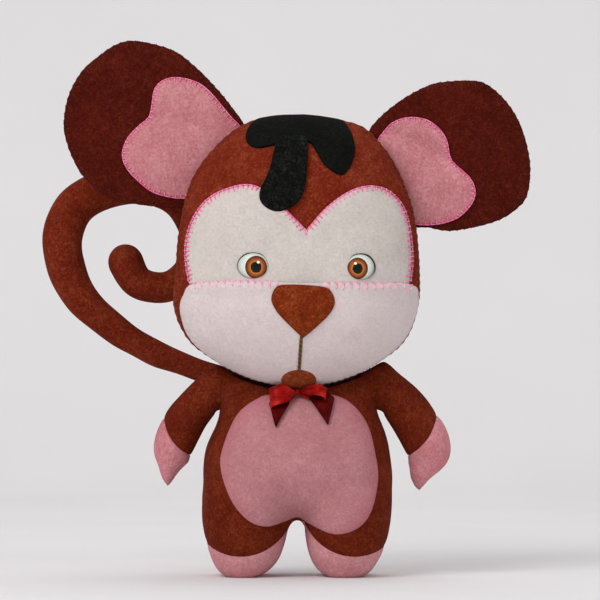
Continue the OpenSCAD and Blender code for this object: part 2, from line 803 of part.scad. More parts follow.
// Shares of the reach to the left, of the rise above the shoulders and of the greatest diameter
tail_curl = [[0.43, 0.098, 0.3], [0.661, 0.22, 0.35], [0.901, 0.429, 0.41], [1, 0.673, 0.49],
    [0.942, 0.907, 0.5], [0.727, 1, 0.46], [0.521, 0.927, 0.42], [0.438, 0.693, 0.4], [0.521, 0.512, 0.4],
    [0.653, 0.507, 0.42], [0.715, 0.605, 0.43]];
tail_points = concat(
    [[-6, tail_root_y, tail_z, 0.5 * tail_base_d], [-22, tail_root_y + 10, tail_z + 8, 0.52 * tail_base_d]],
    [for (v = tail_curl) [-v[0] * tail_reach, tail_back, neck_z + v[1] * tail_rise, v[2] * tail_d]]);
tail_path = open_curve(tail_points, 2);

function xyz(v) = [v[0], v[1], v[2]];

function tail_way(i) = unit(xyz(tail_path[min(i + 1, len(tail_path) - 1)]) - xyz(tail_path[max(i - 1, 0)]));

// Ring round the tail at point i with the given radius, cut flat against the body at the root
function tail_ring(i, r, n) =
    let (way = tail_way(i), mid = xyz(tail_path[i]))
    let (side = unit(cross([0, 1, 0], way)), up = cross(way, side))
    [for (k = [0 : n - 1])
        let (p = mid + r * (side * cos(k * 360 / n) + up * sin(k * 360 / n)))
            i == 0 ? p + way * (tail_root_y + fit_gap - p.y) / way.y : p];

// Rounded end past the last point
function tail_end(r, n) =
    let (i = len(tail_path) - 1, way = tail_way(i))
    [for (a = [30, 60]) [for (p = tail_ring(i, r * cos(a), n)) p + way * r * sin(a)]];

function tail_tip(r) = xyz(tail_path[len(tail_path) - 1]) + tail_way(len(tail_path) - 1) * r;

module tail_skin() {
    k = len(tail_path) - 1;
    r = tail_path[k][3];
    outer = concat([for (i = [0 : k]) tail_ring(i, tail_path[i][3], 10)], tail_end(r, 10));
    inner = concat([for (i = [0 : k]) tail_ring(i, tail_path[i][3] - felt_t, 10)], tail_end(r - felt_t, 10));
    color(felt_brown)
        loft(concat(backwards(inner), outer), tail_tip(r - felt_t), tail_tip(r));
}

module tail_stuffing() {
    k = len(tail_path) - 1;
    t = felt_t + fit_gap;
    outer = [for (i = [0 : k]) tail_ring(i, tail_path[i][3] - t, 8)];
    bore = [for (i = [k : -1 : 0]) tail_ring(i, tail_wire_d / 2 + fit_gap, 8)];
    color(fibre)
        loft(concat(outer, bore));
}

module tail_wire() {
    k = len(tail_path) - 1;
    rings = [for (i = [0 : k]) tail_ring(i, tail_wire_d / 2, 6)];
    mean = function (ring) [for (p = ring) 1] * ring / len(ring);
    color("#9aa0a4")
        loft(rings, mean(rings[0]), mean(rings[k]));
}

body_front();
body_back();
body_stuffing();
belly_patch();
foot_left();
foot_right();
neck_dowel();
bow_knot();
bow_loop_left();
bow_loop_right();
bow_tail_left();
bow_tail_right();
head_front_panel();
head_back_panel();
head_stuffing();
face_mask();
muzzle();
nose();
lip_thread();
mouth();
eye_left_print();
eye_left_dome();
eye_right_print();
eye_right_dome();
hair_crown();
hair_forelock();
ear_left_front();
ear_left_back();
ear_left_batting();
ear_left_lining();
ear_right_front();
ear_right_back();
ear_right_batting();
ear_right_lining();
arm_left_sleeve();
hand_left();
arm_left_stuffing();
arm_right_sleeve();
hand_right();
arm_right_stuffing();
tail_skin();
tail_stuffing();
tail_wire();
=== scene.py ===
"""Stuffed felt monkey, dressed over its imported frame: felt skins, felt patches, threads, eyes and ribbon."""

import math
import random

import bmesh
import bpy
from mathutils import Matrix, Vector, noise
from mathutils.bvhtree import BVHTree


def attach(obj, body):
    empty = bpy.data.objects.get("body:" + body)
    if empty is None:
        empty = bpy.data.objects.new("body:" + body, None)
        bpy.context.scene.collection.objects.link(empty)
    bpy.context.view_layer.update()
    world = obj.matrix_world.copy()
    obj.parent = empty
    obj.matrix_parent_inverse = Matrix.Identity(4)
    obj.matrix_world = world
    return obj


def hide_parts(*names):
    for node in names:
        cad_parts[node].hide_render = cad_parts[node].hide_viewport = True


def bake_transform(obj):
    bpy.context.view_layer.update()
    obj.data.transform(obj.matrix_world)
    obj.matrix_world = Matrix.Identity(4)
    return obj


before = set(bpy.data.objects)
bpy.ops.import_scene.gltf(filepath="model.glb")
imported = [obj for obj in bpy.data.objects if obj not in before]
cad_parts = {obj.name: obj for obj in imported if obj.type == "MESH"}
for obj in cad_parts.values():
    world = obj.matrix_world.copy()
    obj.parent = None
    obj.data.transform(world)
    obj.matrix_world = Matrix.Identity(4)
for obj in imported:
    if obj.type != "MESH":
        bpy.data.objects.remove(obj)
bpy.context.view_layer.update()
MM, TINY = 0.001, 1e-9
SIDES = (("left", -1), ("right", 1))
random.seed(11)


# Materials


def linear(code):
    """An sRGB hex colour as linear RGBA."""
    parts = [int(code[i : i + 2], 16) / 255 for i in (1, 3, 5)]
    return [*(c / 12.92 if c <= 0.04045 else ((c + 0.055) / 1.055) ** 2.4 for c in parts), 1]


def add(tree, kind, inputs=None, **settings):
    """One shader node with its settings; an input takes a value or another node's output."""
    made = tree.nodes.new("ShaderNode" + kind)
    for name, value in settings.items():
        setattr(made, name, value)
    for name, value in (inputs or {}).items():
        socket = made.inputs[name]
        if isinstance(value, bpy.types.NodeSocket):
            tree.links.new(value, socket)
        else:
            socket.default_value = value
    return made


def new_look(name):
    """A new material, its empty node tree and the Object coordinates."""
    material = bpy.data.materials.new(name)
    material.use_nodes = True
    tree = material.node_tree
    tree.nodes.clear()
    return material, tree, add(tree, "TexCoord").outputs["Object"]


def finished(material, looks):
    """The material with its shader, that has a value or an output on each socket given."""
    shader = add(material.node_tree, "BsdfPrincipled", looks)
    add(material.node_tree, "OutputMaterial", {"Surface": shader.outputs[0]})
    return material


def reckon(tree, operation, *values):
    """One sum or test of values or outputs."""
    return add(tree, "Math", dict(enumerate(values)), operation=operation).outputs[0]


def rising(tree, value, low, high, most):
    """0 up to low, then rising to most at high."""
    inputs = {"Value": value, "From Min": low, "From Max": high, "To Min": 0.0, "To Max": most}
    return add(tree, "MapRange", inputs).outputs[0]


def clouds(tree, place, size, detail, rough=0.5, swirl=0.0):
    """Noise with features of about size millimetres."""
    inputs = {"Vector": place, "Scale": 1000 / size, "Detail": detail, "Roughness": rough, "Distortion": swirl}
    return add(tree, "TexNoise", inputs).outputs[0]


def mixed(tree, share, a, b):
    return add(tree, "Mix", {0: share, 2: a, 3: b}).outputs[0]


def painted(tree, share, under, over):
    """One colour over another by a share."""
    return add(tree, "Mix", {0: share, 6: under, 7: over}, data_type="RGBA").outputs[2]


def graded(tree, value, stops):
    """Colours over a value, as position and hex pairs."""
    ramp = add(tree, "ValToRGB", {"Fac": value})
    bar = ramp.color_ramp
    while len(bar.elements) < len(stops):
        bar.elements.new(0.5)
    for element, (at, code) in zip(bar.elements, stops):
        element.position = at
        element.color = linear(code)
    return ramp.outputs[0]


def oval_reach(tree, place, centre, wide, high):
    """Distance from a point of the front, 1 on an oval of that half width and half height in millimetres."""
    moved = add(tree, "Mapping", {"Vector": place, "Location": (-centre[0] / wide, 0, -centre[1] / high),
                                  "Scale": (1000 / wide, 0, 1000 / high)})
    return add(tree, "VectorMath", {0: moved.outputs[0]}, operation="LENGTH").outputs["Value"]


def embossed(tree, height, strength, depth):
    """Normals of a surface raised by a height, of at most depth millimetres."""
    return add(tree, "Bump", {"Height": height, "Strength": strength, "Distance": depth * MM}).outputs[0]


# Size of the drawn grain and spacing of the stray fibres, in millimetres
FELT_GRAIN, FELT_STRAYS = 1.3, 5


def pressed_felt(name, deep, base, light, sheen, mottle=14, relief=0.5, rim=None):
    """Pressed wool felt: matt, cloudy where the fibres lie thicker, a soft halo at grazing angles and
    pale stray fibres. The fibre grain is near 0.3 mm on the real felt and is drawn coarser so that it shows.
    A rim gives an oval, as its middle, half width and half height, and a colour of painted shade at its edge."""
    material, tree, place = new_look(name)
    thick = clouds(tree, place, mottle, 4, 0.6)
    wisps = clouds(tree, place, FELT_GRAIN * 1.7, 3, 0.65, 1.6)
    grains = clouds(tree, place, FELT_GRAIN, 4, 0.7)
    strays = clouds(tree, place, FELT_STRAYS, 2, 0.5, 5)
    tone = graded(tree, mixed(tree, 0.68, thick, wisps), [(0.36, deep), (0.5, base), (0.66, light)])
    colour = painted(tree, rising(tree, strays, 0.62, 0.7, 0.3), tone, linear(light))
    # Painted shade: from 0.8 of the oval outward the felt mixes up to halfway to the rim colour
    if rim:
        middle, wide, high, code = rim
        near = rising(tree, oval_reach(tree, place, middle, wide, high), 0.8, 1.02, 0.5)
        colour = painted(tree, near, colour, linear(code))
    bump = embossed(tree, mixed(tree, 0.45, grains, wisps), relief, 0.8)
    return finished(material, {"Base Color": colour, "Normal": bump, "Roughness": 0.95, "Specular IOR Level": 0.08,
                               "Sheen Weight": sheen, "Sheen Roughness": 0.5, "Sheen Tint": linear(light)})


def cotton_thread(name, base, light):
    """Twisted embroidery cotton: a soft gloss and a fine slanting twist. The plies are near 0.3 mm."""
    material, tree, place = new_look(name)
    turned = add(tree, "Mapping", {"Vector": place, "Rotation": (0.7, 0.5, 0.8)}).outputs[0]
    twist = add(tree, "TexWave",
                {"Vector": turned, "Scale": 1000 / 6.5, "Distortion": 1.2, "Detail": 1}).outputs["Fac"]
    return finished(material, {"Base Color": graded(tree, twist, [(0.1, base), (0.8, light)]), "Roughness": 0.7,
                               "Normal": embossed(tree, twist, 0.4, 0.3), "Specular IOR Level": 0.15})


def satin_ribbon(name, deep, base, light, rough):
    """Polyester satin: long floats of yarn that shine across the weave, with fine cross lines. The yarns are
    near 0.1 mm and are drawn at 0.4 mm, faintly."""
    material, tree, place = new_look(name)
    yarn = add(tree, "TexWave", {"Vector": place, "Scale": 1000 / 2.5, "Distortion": 0.6, "Detail": 2},
               bands_direction="Z").outputs["Fac"]
    # Painted shade and highlight of soft folds: a broad cloud about 6 mm across, deeper and lighter red
    tone = mixed(tree, 0.1, clouds(tree, place, 6, 2), yarn)
    colour = graded(tree, tone, [(0.36, deep), (0.52, base), (0.66, light)])
    return finished(material, {"Base Color": colour, "Normal": embossed(tree, yarn, 0.04, 0.2), "Roughness": rough,
                               "Anisotropic": 0.5, "Specular IOR Level": 0.25, "Specular Tint": linear("#e0433a")})


# Half height of an eye
EYE_HIGH = 6.5


def domed_eye(name, middle, half, iris, iris_r, way):
    """Printed eye under a clear resin dome: a sharp wet gloss over a matt print of white, iris and pupil."""
    material, tree, place = new_look(name)
    ring = oval_reach(tree, place, iris, iris_r, iris_r * 1.05)
    ragged = reckon(tree, "MULTIPLY_ADD", clouds(tree, place, 1.2, 2, 0.6), 0.16, -0.08)
    iris_print = graded(tree, reckon(tree, "ADD", ring, ragged),
                        [(0.0, "#0c0b0a"), (0.46, "#14110d"), (0.53, "#bd8230"), (0.62, "#b0601d"), (0.8, "#8c3a17"),
                         (0.93, "#571d10"), (1.0, "#2c0e09")])
    # The white greys towards its edge with painted shade; the thin grey line at its very edge is print
    sclera = graded(tree, oval_reach(tree, place, middle, half, EYE_HIGH),
                    [(0.0, "#e2e8df"), (0.72, "#d9e0d5"), (0.95, "#b9bfb4"), (1.0, "#8b8f87")])
    eye = painted(tree, reckon(tree, "LESS_THAN", ring, 1.0), sclera, iris_print)
    lash = oval_reach(tree, place, (middle[0] + 0.2 * way, middle[1] - 0.9), half + 0.4, EYE_HIGH + 0.45)
    eye = painted(tree, reckon(tree, "GREATER_THAN", lash, 1.0), eye, linear("#1d1b19"))
    spark = oval_reach(tree, place, (iris[0] + 1.1 * way, iris[1] + 2.5), 0.75, 0.65)
    eye = painted(tree, reckon(tree, "LESS_THAN", spark, 1.0), eye, linear("#f4f6f2"))
    return finished(material, {"Base Color": eye, "Roughness": 0.4, "Specular IOR Level": 0.1, "Coat Weight": 0.22,
                               "Coat Roughness": 0.05})


def turned_wood(name):
    """Beech dowel: pale, with fine darker grain along its length every 2 mm or so."""
    material, tree, place = new_look(name)
    along = add(tree, "Mapping", {"Vector": place, "Scale": (1, 1, 0.06)}).outputs[0]
    colour = graded(tree, clouds(tree, along, 2, 4), [(0.3, "#b78c55"), (0.7, "#d8b680")])
    return finished(material, {"Base Color": colour, "Roughness": 0.55})


def pale_board(name):
    """Matt white card: even, with the faintest cloud."""
    material, tree, place = new_look(name)
    colour = graded(tree, clouds(tree, place, 125, 2), [(0.3, "#e5e3e4"), (0.7, "#e8e6e7")])
    # Seen from behind it is clear, so that it never hides the toy
    behind = add(tree, "NewGeometry").outputs["Backfacing"]
    return finished(material, {"Base Color": colour, "Roughness": 0.9, "Alpha": reckon(tree, "SUBTRACT", 1.0, behind)})


HEAD_FELT = pressed_felt("brown_felt_head", "#5e1808", "#742410", "#8b4229", 0.12)
BODY_FELT = pressed_felt("brown_felt_body", "#501506", "#641f0c", "#7b351b", 0.1)
TAIL_FELT = pressed_felt("brown_felt_tail", "#58170a", "#6d220f", "#843d22", 0.12)
EAR_FELT = pressed_felt("dark_brown_felt", "#380a03", "#4a1107", "#602113", 0.08, mottle=18)
NOSE_FELT = pressed_felt("rust_felt", "#621f08", "#782b0d", "#944a24", 0.12, mottle=8)
MOUTH_FELT = pressed_felt("rust_felt_mouth", "#682713", "#7f361b", "#985432", 0.12, mottle=8)
PINK_FELT = pressed_felt("pink_felt", "#b16a70", "#c37c82", "#d2979b", 0.2)
FOOT_FELT = pressed_felt("pink_felt_feet", "#b6767a", "#c8888c", "#d6a2a5", 0.2)
# The belly deepens with painted shade towards the edge of its patch
BELLY_FELT = pressed_felt("dusty_pink_felt", "#a86d71", "#b4797d", "#c08a8d", 0.2,
                          rim=((1.5, 55), 41, 40, "#b4606b"))
WHITE_FELT = pressed_felt("white_felt", "#c3bab3", "#cec5be", "#d9d1cb", 0.1)
MUZZLE_FELT = pressed_felt("blush_white_felt", "#cfc0bf", "#d8cac9", "#e0d4d3", 0.1)
CROWN_BLACK = pressed_felt("black_felt_crown", "#060706", "#0b0c0a", "#181a17", 0.05)
BLACK_FELT = pressed_felt("black_felt", "#050605", "#0d0e0c", "#262925", 0.05, mottle=5, relief=0.8)
PINK_THREAD = cotton_thread("hot_pink_cotton", "#f4699e", "#fe9cc0")
PALE_THREAD = cotton_thread("light_pink_cotton", "#f397b6", "#f9c3d3")
DARK_THREAD = cotton_thread("dark_brown_cotton", "#34100a", "#5a2715")
OLIVE_THREAD = cotton_thread("olive_cotton", "#54391c", "#7c5c34")
SATIN = satin_ribbon("red_satin", "#6c0a0a", "#9a1613", "#ba2d22", 0.34)
# The tails' satin: its duller gloss is the ribbon's reverse side, its much darker red is painted shade
SATIN_BACK_SHADED = satin_ribbon("red_satin_reverse_shaded", "#360405", "#460706", "#5c0e0c", 0.5)
WOOD = turned_wood("beech")
CARD = pale_board("white_card")


# Curves and skins, in millimetres


def bell(x, width):
    return math.exp(-((x / width) ** 2))


def spline(a, b, c, d, t):
    return 0.5 * (2 * b + (c - a) * t + (2 * a - 5 * b + 4 * c - d) * t * t + (3 * b - a - 3 * c + d) * t * t * t)


def closed_curve(points, per):
    """Smooth closed curve through points, with per steps from one to the next."""
    p = [Vector(q) for q in points]
    n = len(p)
    return [spline(p[i - 1], p[i], p[(i + 1) % n], p[(i + 2) % n], j / per) for i in range(n) for j in range(per)]


def open_curve(points, per):
    """Smooth open curve through points."""
    p = [Vector(q) for q in points]
    n = len(p) - 1
    line = [spline(p[max(i - 1, 0)], p[i], p[i + 1], p[min(i + 2, n)], j / per) for i in range(n) for j in range(per)]
    return [*line, p[n]]


def round_pairs(loop):
    """Each point of a closed line with the next."""
    return list(zip(loop, [*loop[1:], loop[0]]))


def even_steps(loop, pitch):
    """Points at equal steps round a closed line of points."""
    pairs = round_pairs(loop)
    lengths = [(b - a).length for a, b in pairs]
    count = max(2, round(sum(lengths) / pitch))
    step, found, gone, at = sum(lengths) / count, [], 0.0, 0
    for k in range(count):
        want = k * step
        while at < len(lengths) - 1 and gone + lengths[at] < want:
            gone += lengths[at]
            at += 1
        found.append(pairs[at][0].lerp(pairs[at][1], min(1, (want - gone) / max(lengths[at], TINY))))
    return found


def heading(line, i):
    """Way along an open line at one of its points."""
    return line[min(i + 1, len(line) - 1)] - line[max(i - 1, 0)]


def verts_of(geom):
    """The vertices among what a bmesh operator made."""
    return [e for e in geom if isinstance(e, bmesh.types.BMVert)]


def circle(sides):
    """Cosine and sine at equal steps round a circle."""
    return [(math.cos(math.tau * i / sides), math.sin(math.tau * i / sides)) for i in range(sides)]


def middle_of(ring):
    return sum(ring, Vector((0, 0, 0))) / len(ring)


def skin(bm, rings, ends=(None, None)):
    """A circle extruded from ring to ring; each end closes to its point, or to the middle of its ring."""
    start = bmesh.ops.create_circle(bm, segments=len(rings[0]), radius=1)["verts"]
    for v, p in zip(start, rings[0]):
        v.co = Vector(p) * MM
    here, edges = list(start), list({e for v in start for e in v.link_edges})
    for ring in rings[1:]:
        made = bmesh.ops.extrude_edge_only(bm, edges=edges)["geom"]
        fresh = set(verts_of(made))
        edges = [e for e in made if isinstance(e, bmesh.types.BMEdge) and set(e.verts) <= fresh]
        there = []
        for v, p in zip(here, ring):
            new = next(e.other_vert(v) for e in v.link_edges if e.other_vert(v) in fresh)
            new.co = Vector(p) * MM
            there.append(new)
        here = there
    for verts, point, ring in ((start, ends[0], rings[0]), (here, ends[1], rings[-1])):
        rim = [e for e in {e for v in verts for e in v.link_edges} if e.is_boundary]
        tip = verts_of(bmesh.ops.extrude_edge_only(bm, edges=rim)["geom"])
        point = middle_of([Vector(p) for p in ring]) if point is None else Vector(point)
        bmesh.ops.pointmerge(bm, verts=tip, merge_co=point * MM)


def shown(obj):
    bpy.context.scene.collection.objects.link(obj)
    return obj


def piece(name, bm, material, smooth=True, outward=True):
    """The finished bmesh as an object at the origin."""
    if outward:
        bmesh.ops.recalc_face_normals(bm, faces=bm.faces)
    for f in bm.faces:
        f.smooth = smooth
    mesh = bpy.data.meshes.new(name)
    bm.to_mesh(mesh)
    bm.free()
    mesh.materials.append(material)
    return shown(bpy.data.objects.new(name, mesh))


def skinned(name, rings, material, ends=(None, None)):
    """A skin over rings as an object."""
    bm = bmesh.new()
    skin(bm, rings, ends)
    return piece(name, bm, material)


def sewn(made, body, nodes):
    """Puts a piece on its body in place of nodes of the frame; a piece given two bodies is left on none."""
    if isinstance(body, str):
        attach(made, body)
    else:
        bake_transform(made)
    if nodes:
        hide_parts(*nodes)
    return made


def rounded(obj, levels=1):
    modifier = obj.modifiers.new("rounding", "SUBSURF")
    modifier.levels = modifier.render_levels = levels
    return obj


def applied(obj):
    """Replaces an object's mesh by what its modifiers make of it."""
    graph = bpy.context.evaluated_depsgraph_get()
    mesh = bpy.data.meshes.new_from_object(obj.evaluated_get(graph))
    obj.modifiers.clear()
    obj.data = mesh
    return obj


# Frames of the cloth run, the most that a point may move in millimetres, and mass of a cloth point in kilograms
SWELL_STEPS, SWELL_MOST, CLOTH_MASS = 20, 2, 0.02


def stuffed(obj, voxel, pressure, held):
    """A sewn form filled by Blender's cloth: pushed out from within while held() keeps its seams in place, no point
    moved more than SWELL_MOST millimetres. Gives the smoothed form as a bmesh."""
    joiner = obj.modifiers.new("weave", "REMESH")
    joiner.mode, joiner.voxel_size = "VOXEL", voxel * MM
    applied(obj)
    start = [v.co.copy() for v in obj.data.vertices]
    seam = obj.vertex_groups.new(name="seam")
    for i, p in enumerate(start):
        seam.add([i], held(p / MM), "REPLACE")
    cloth = obj.modifiers.new("felt", "CLOTH").settings
    cloth.vertex_group_mass, cloth.mass = "seam", CLOTH_MASS
    cloth.use_pressure, cloth.uniform_pressure_force = True, pressure
    cloth.effector_weights.gravity = 0
    for step in range(1, SWELL_STEPS + 1):
        bpy.context.scene.frame_set(step)
    applied(obj)
    bpy.context.scene.frame_set(1)
    obj.vertex_groups.clear()
    for v, p in zip(obj.data.vertices, start):
        move = v.co - p
        v.co = p + move * min(1, SWELL_MOST * MM / max(move.length, TINY))
    applied(rounded(obj, 2))
    bm = bmesh.new()
    bm.from_mesh(obj.data)
    bm.normal_update()
    return bm


def reshaped(obj, bm):
    """Gives a form its finished mesh, smooth all over."""
    bm.to_mesh(obj.data)
    bm.free()
    for f in obj.data.polygons:
        f.use_smooth = True


def lumps(p, size, amount, seed):
    """Unevenness of a hand-stuffed form at a point, in millimetres."""
    return amount * noise.noise(Vector(p) / size + Vector((seed, 2.3 * seed, -seed)))


def hits(loop, start, way):
    """Multiples of way at which a ray from start meets a closed outline."""
    found = []
    for a, b in round_pairs(loop):
        e, r = b - a, a - start
        den = way.x * e.y - way.y * e.x
        if abs(den) > TINY:
            t, u = (r.x * e.y - r.y * e.x) / den, (r.x * way.y - r.y * way.x) / den
            if t > 0 and -TINY <= u <= 1 + TINY:
                found.append(t)
    return found


def held_in(p, loop, middle, keep):
    """A point of the face, held inside a share of the outline."""
    if (p - middle).length < 0.01:
        return p
    share = 1 / max(hits(loop, middle, p - middle))
    return middle + (p - middle) * keep / share if share > keep else p


# Where the rays that look for a form start
FAR_OFF = 200


class Ground:
    """A finished form that patches and threads are laid on, met from the front or from behind."""

    def __init__(self, obj, outline=None, middle=None, keep=1):
        self.tree = BVHTree.FromObject(obj, bpy.context.evaluated_depsgraph_get())
        self.outline, self.middle, self.keep = outline, middle, keep

    def at(self, p, lift=0.0, side=-1):
        """The point that lies lift above the form at (x, z), all in millimetres."""
        q = held_in(Vector(p), self.outline, self.middle, self.keep) if self.outline else Vector(p)
        spot, normal = self.tree.ray_cast(Vector((q.x, side * FAR_OFF, q.y)) * MM, Vector((0, -side, 0)))[:2]
        if spot is None:
            spot, normal = self.tree.find_nearest(Vector((q.x, 0, q.y)) * MM)[:2]
        return spot / MM + normal * lift


# Head

HEAD_W, HEAD_H, CHIN_Z, HEAD_Y = 123, 135.5, 95.4, -4
# Mean radius of its seam, that turns an angle into a way along the seam
HEAD_RADIUS = 64
# How far from a seam it still draws the felt in and puckers it, and the pitch of the hand stitches
SEAM_REACH, PUCKER_REACH, STITCH_PITCH = 1.6, 5, 4.2


def on_face(x, z):
    """Point of the face from shares of the half width and of the height above the chin."""
    return Vector((x * HEAD_W / 2, CHIN_Z + z * HEAD_H))


HEAD_SIDE = [(0, 0), (0.32, 0.019), (0.62, 0.079), (0.86, 0.168), (0.985, 0.295), (0.997, 0.425), (0.95, 0.645),
             (0.8, 0.822)]
HEAD_MID = on_face(0, 0.4)
# The crown stands fuller on the right, by the ear, and the cheek on the left
HEAD_TOP = [(0.575, 0.952), (0.45, 0.979), (0, 1.008), (-0.45, 0.972)]
HEAD_LEFT = [(-x * (1.03 if 0.15 < z < 0.4 else 1), z) for x, z in HEAD_SIDE[:0:-1]]
HEAD_LOOP = closed_curve([on_face(*u) for u in [*HEAD_SIDE, *HEAD_TOP, *HEAD_LEFT]], 8)


def seam_pull(gap, far, draw, pucker):
    """How far a sewn edge is drawn in at a gap from the seam, with an uneven pucker at each stitch along it."""
    stitch = math.cos(far * math.tau / STITCH_PITCH + 2 * math.sin(far / 17))
    return draw * bell(gap, SEAM_REACH) + pucker * math.exp(-gap / PUCKER_REACH) * stitch


def pillow(name, outline, middle, y, front, back, full, material, turns, pucker, lump, bend, draw):
    """Two panels sewn round their edge and stuffed, with the seam drawn in and puckered."""
    rings, around = [], [(p - middle).length for p in outline]
    gone, walk = 0.0, []
    for a, b in round_pairs(outline):
        walk.append(gone)
        gone += (b - a).length
    for k in range(-turns + 1, turns):
        t = math.radians(90 * k / turns)
        share, high = math.cos(t) ** (2 / full), abs(math.sin(t)) ** (2 / full)
        depth = back * high if k > 0 else -front * high
        gap, ring = abs(depth), []
        for p, reach, far in zip(outline, around, walk):
            q = middle + (p - middle) * (share - seam_pull(gap, far, draw, pucker) / reach * share)
            spot = Vector((q.x, y + depth, q.y))
            out = Vector((q.x - middle.x, depth * 2, q.y - middle.y)).normalized()
            spot += out * lumps(spot, *lump) * min(1, gap / 3)
            spot.y += bend(q)
            ring.append(spot)
        rings.append(ring)
    tips = [Vector((middle.x, y + far + bend(middle), middle.y)) for far in (-front, back)]
    return skinned(name, rings, material, tips)


head = pillow("head_form", HEAD_LOOP, HEAD_MID, HEAD_Y, front=38.6, back=35.6, full=2.5, material=HEAD_FELT, turns=26,
              pucker=0, lump=(26, 0, 0), bend=lambda q: 0, draw=0)
# The seam holds while both panels swell
bm = stuffed(head, voxel=4, pressure=1500, held=lambda p: 1 if abs(p.y - HEAD_Y) < 4 else 0)
for v in bm.verts:
    p = v.co / MM
    gap, around = abs(p.y - HEAD_Y), math.atan2(p.z - HEAD_MID.y, p.x - HEAD_MID.x) * HEAD_RADIUS
    drawn = seam_pull(gap, around, draw=0.7, pucker=0.25)
    v.co += v.normal * (0.3 + lumps(p, 26, 0.8, 3.1) * min(1, gap / 3) - drawn) * MM
reshaped(head, bm)
sewn(head, "head", ["head_front_panel", "head_back_panel", "head_stuffing"])
# The same head for pieces that may reach less or more far towards its outline
FACE = Ground(head, HEAD_LOOP, HEAD_MID, 0.965)
CHEEKS = Ground(head, HEAD_LOOP, HEAD_MID, 0.974)
CROWN = Ground(head, HEAD_LOOP, HEAD_MID, 0.985)


# Trunk, legs and feet

# Height, half width and half depth of the trunk; height, middle, half width and half depth of a leg
TRUNK = [(30, 14.2, 9.9), (34.4, 35.1, 24.4), (43.1, 46.3, 31), (57, 47, 33), (70.9, 44.6, 30), (83.3, 39.6, 23.1),
         (93.5, 40, 15.8), (100.1, 38, 11.2), (103, 32, 7.3)]
LEG = [(0, 27, 9, 19), (2.5, 26.5, 13, 22.8), (8, 25.8, 16.9, 26.4), (15, 25.8, 19.1, 28.7), (24.6, 25.8, 20.9, 30),
       (34.5, 25.8, 21.7, 30.4), (45, 25.8, 21.2, 29), (54, 25.8, 12, 18.5)]
# Middle and radius of the arc of a foot's seam, and the height that a foot stays under
FOOT_SEAM, FOOT_TOP = (28.75, 39, 28), 28
# Room that the trunk leaves under the chin
CHIN_ROOM = 0.9
CHIN_RIM = sorted((p.x, p.y) for p in HEAD_LOOP if p.x >= 0 and p.y < HEAD_MID.y)


def oval(z, x, wide, deep, sides):
    """Rounded section of a stuffed limb."""
    ring = []
    for c, s in circle(sides):
        k = (abs(c) ** 2.5 + abs(s) ** 2.5) ** -0.4
        ring.append((x + wide * c * k, deep * s * k, z))
    return ring


def under_chin(x, y):
    """Height of the hollow that the turning head rests in."""
    reach = math.hypot(x, y - HEAD_Y)
    for (r0, z0), (r1, z1) in zip(CHIN_RIM, CHIN_RIM[1:]):
        if r0 <= reach <= r1:
            return z0 + (z1 - z0) * (reach - r0) / max(r1 - r0, 1e-6) - CHIN_ROOM
    return 999


def drawn_in(p):
    """How far the seams of the trunk draw its felt in at a point, in millimetres."""
    side_seam = 0.45 * bell(p.y, 1.3)
    foot = math.hypot(abs(p.x) - FOOT_SEAM[0], p.z - FOOT_SEAM[1]) - FOOT_SEAM[2]
    return side_seam + (0.45 * bell(foot, 1.5) if p.z < FOOT_TOP + 1 else 0)


bm = bmesh.new()
skin(bm, [oval(z, 0, w, d, 64) for z, w, d in open_curve(TRUNK, 5)])
# The right leg stands slightly nearer the middle, both feet lean a little to the left and taper to the sole
for way, shift, lean, taper in ((-1, 0, 1.5, 0.1), (1, 0.9, 2.1, 0.03)):
    skin(bm, [oval(z, way * x - shift - lean * max(0, 1 - z / 30), w * (1 - taper * max(0, 1 - z / 16)), d, 48)
              for z, x, w, d in open_curve(LEG, 5)])
trunk = piece("trunk_form", bm, BODY_FELT)
# The seams down the sides, the soles and the neck hold while the rest swells
bm = stuffed(trunk, voxel=3.5, pressure=4500, held=lambda p: 1 if abs(p.y) < 3 or p.z < 3 or p.z > 92 else 0)
lowest = min(v.co.z for v in bm.verts)
for v in bm.verts:
    p = v.co / MM
    v.co += v.normal * (0.35 + lumps(p, 22, 0.9, 5.2) * min(1, p.z / 10) - drawn_in(p)) * MM
    v.co.z = max(0, v.co.z - (lowest + 0.35 * MM) * max(0, 1 - p.z / 8))
    # The left side is hollower under the arm
    v.co.x += 1.6 * bell(p.z - 75, 8) * min(1, max(0, -p.x / 30)) * MM
    # The muzzle sweeps over the front of the hollow, and the mouth over its middle
    swept = 1.2 + math.exp(-((p.x / 17) ** 4)) if p.y < HEAD_Y else 0
    v.co.z = min(v.co.z, (under_chin(v.co.x / MM, v.co.y / MM) - swept) * MM)
reshaped(trunk, bm)


def foot_block(way):
    """Block outside the curved seam of a foot, to split it from its leg."""
    x, z, r = FOOT_SEAM
    arc = [(x + r * math.cos(math.radians(a)), z + r * math.sin(math.radians(a))) for a in range(203, 338, 3)]
    block = bmesh.new()
    rim = [(0, FOOT_TOP), *arc, (60, FOOT_TOP), (60, -3), (0, -3)]
    verts = [block.verts.new((way * px * MM, -0.06, pz * MM)) for px, pz in rim]
    edges = [block.edges.new(pair) for pair in round_pairs(verts)]
    face = bmesh.ops.edgeloop_fill(block, edges=edges)["faces"]
    far = bmesh.ops.extrude_face_region(block, geom=face)["geom"]
    bmesh.ops.translate(block, verts=verts_of(far), vec=(0, 0.12, 0))
    return piece(f"foot_block_{way}", block, FOOT_FELT, smooth=False)


def split(obj, block, operation):
    cut = obj.modifiers.new("cut", "BOOLEAN")
    cut.operation, cut.object, cut.solver = operation, block, "EXACT"
    return obj


def one_felt(obj, felt):
    """Leaves a cut form one felt all over, with its cut edge sharp."""
    obj.data.materials.clear()
    obj.data.materials.append(felt)
    obj.data.polygons.foreach_set("material_index", [0] * len(obj.data.polygons))
    obj.data.set_sharp_from_angle(angle=math.radians(55))


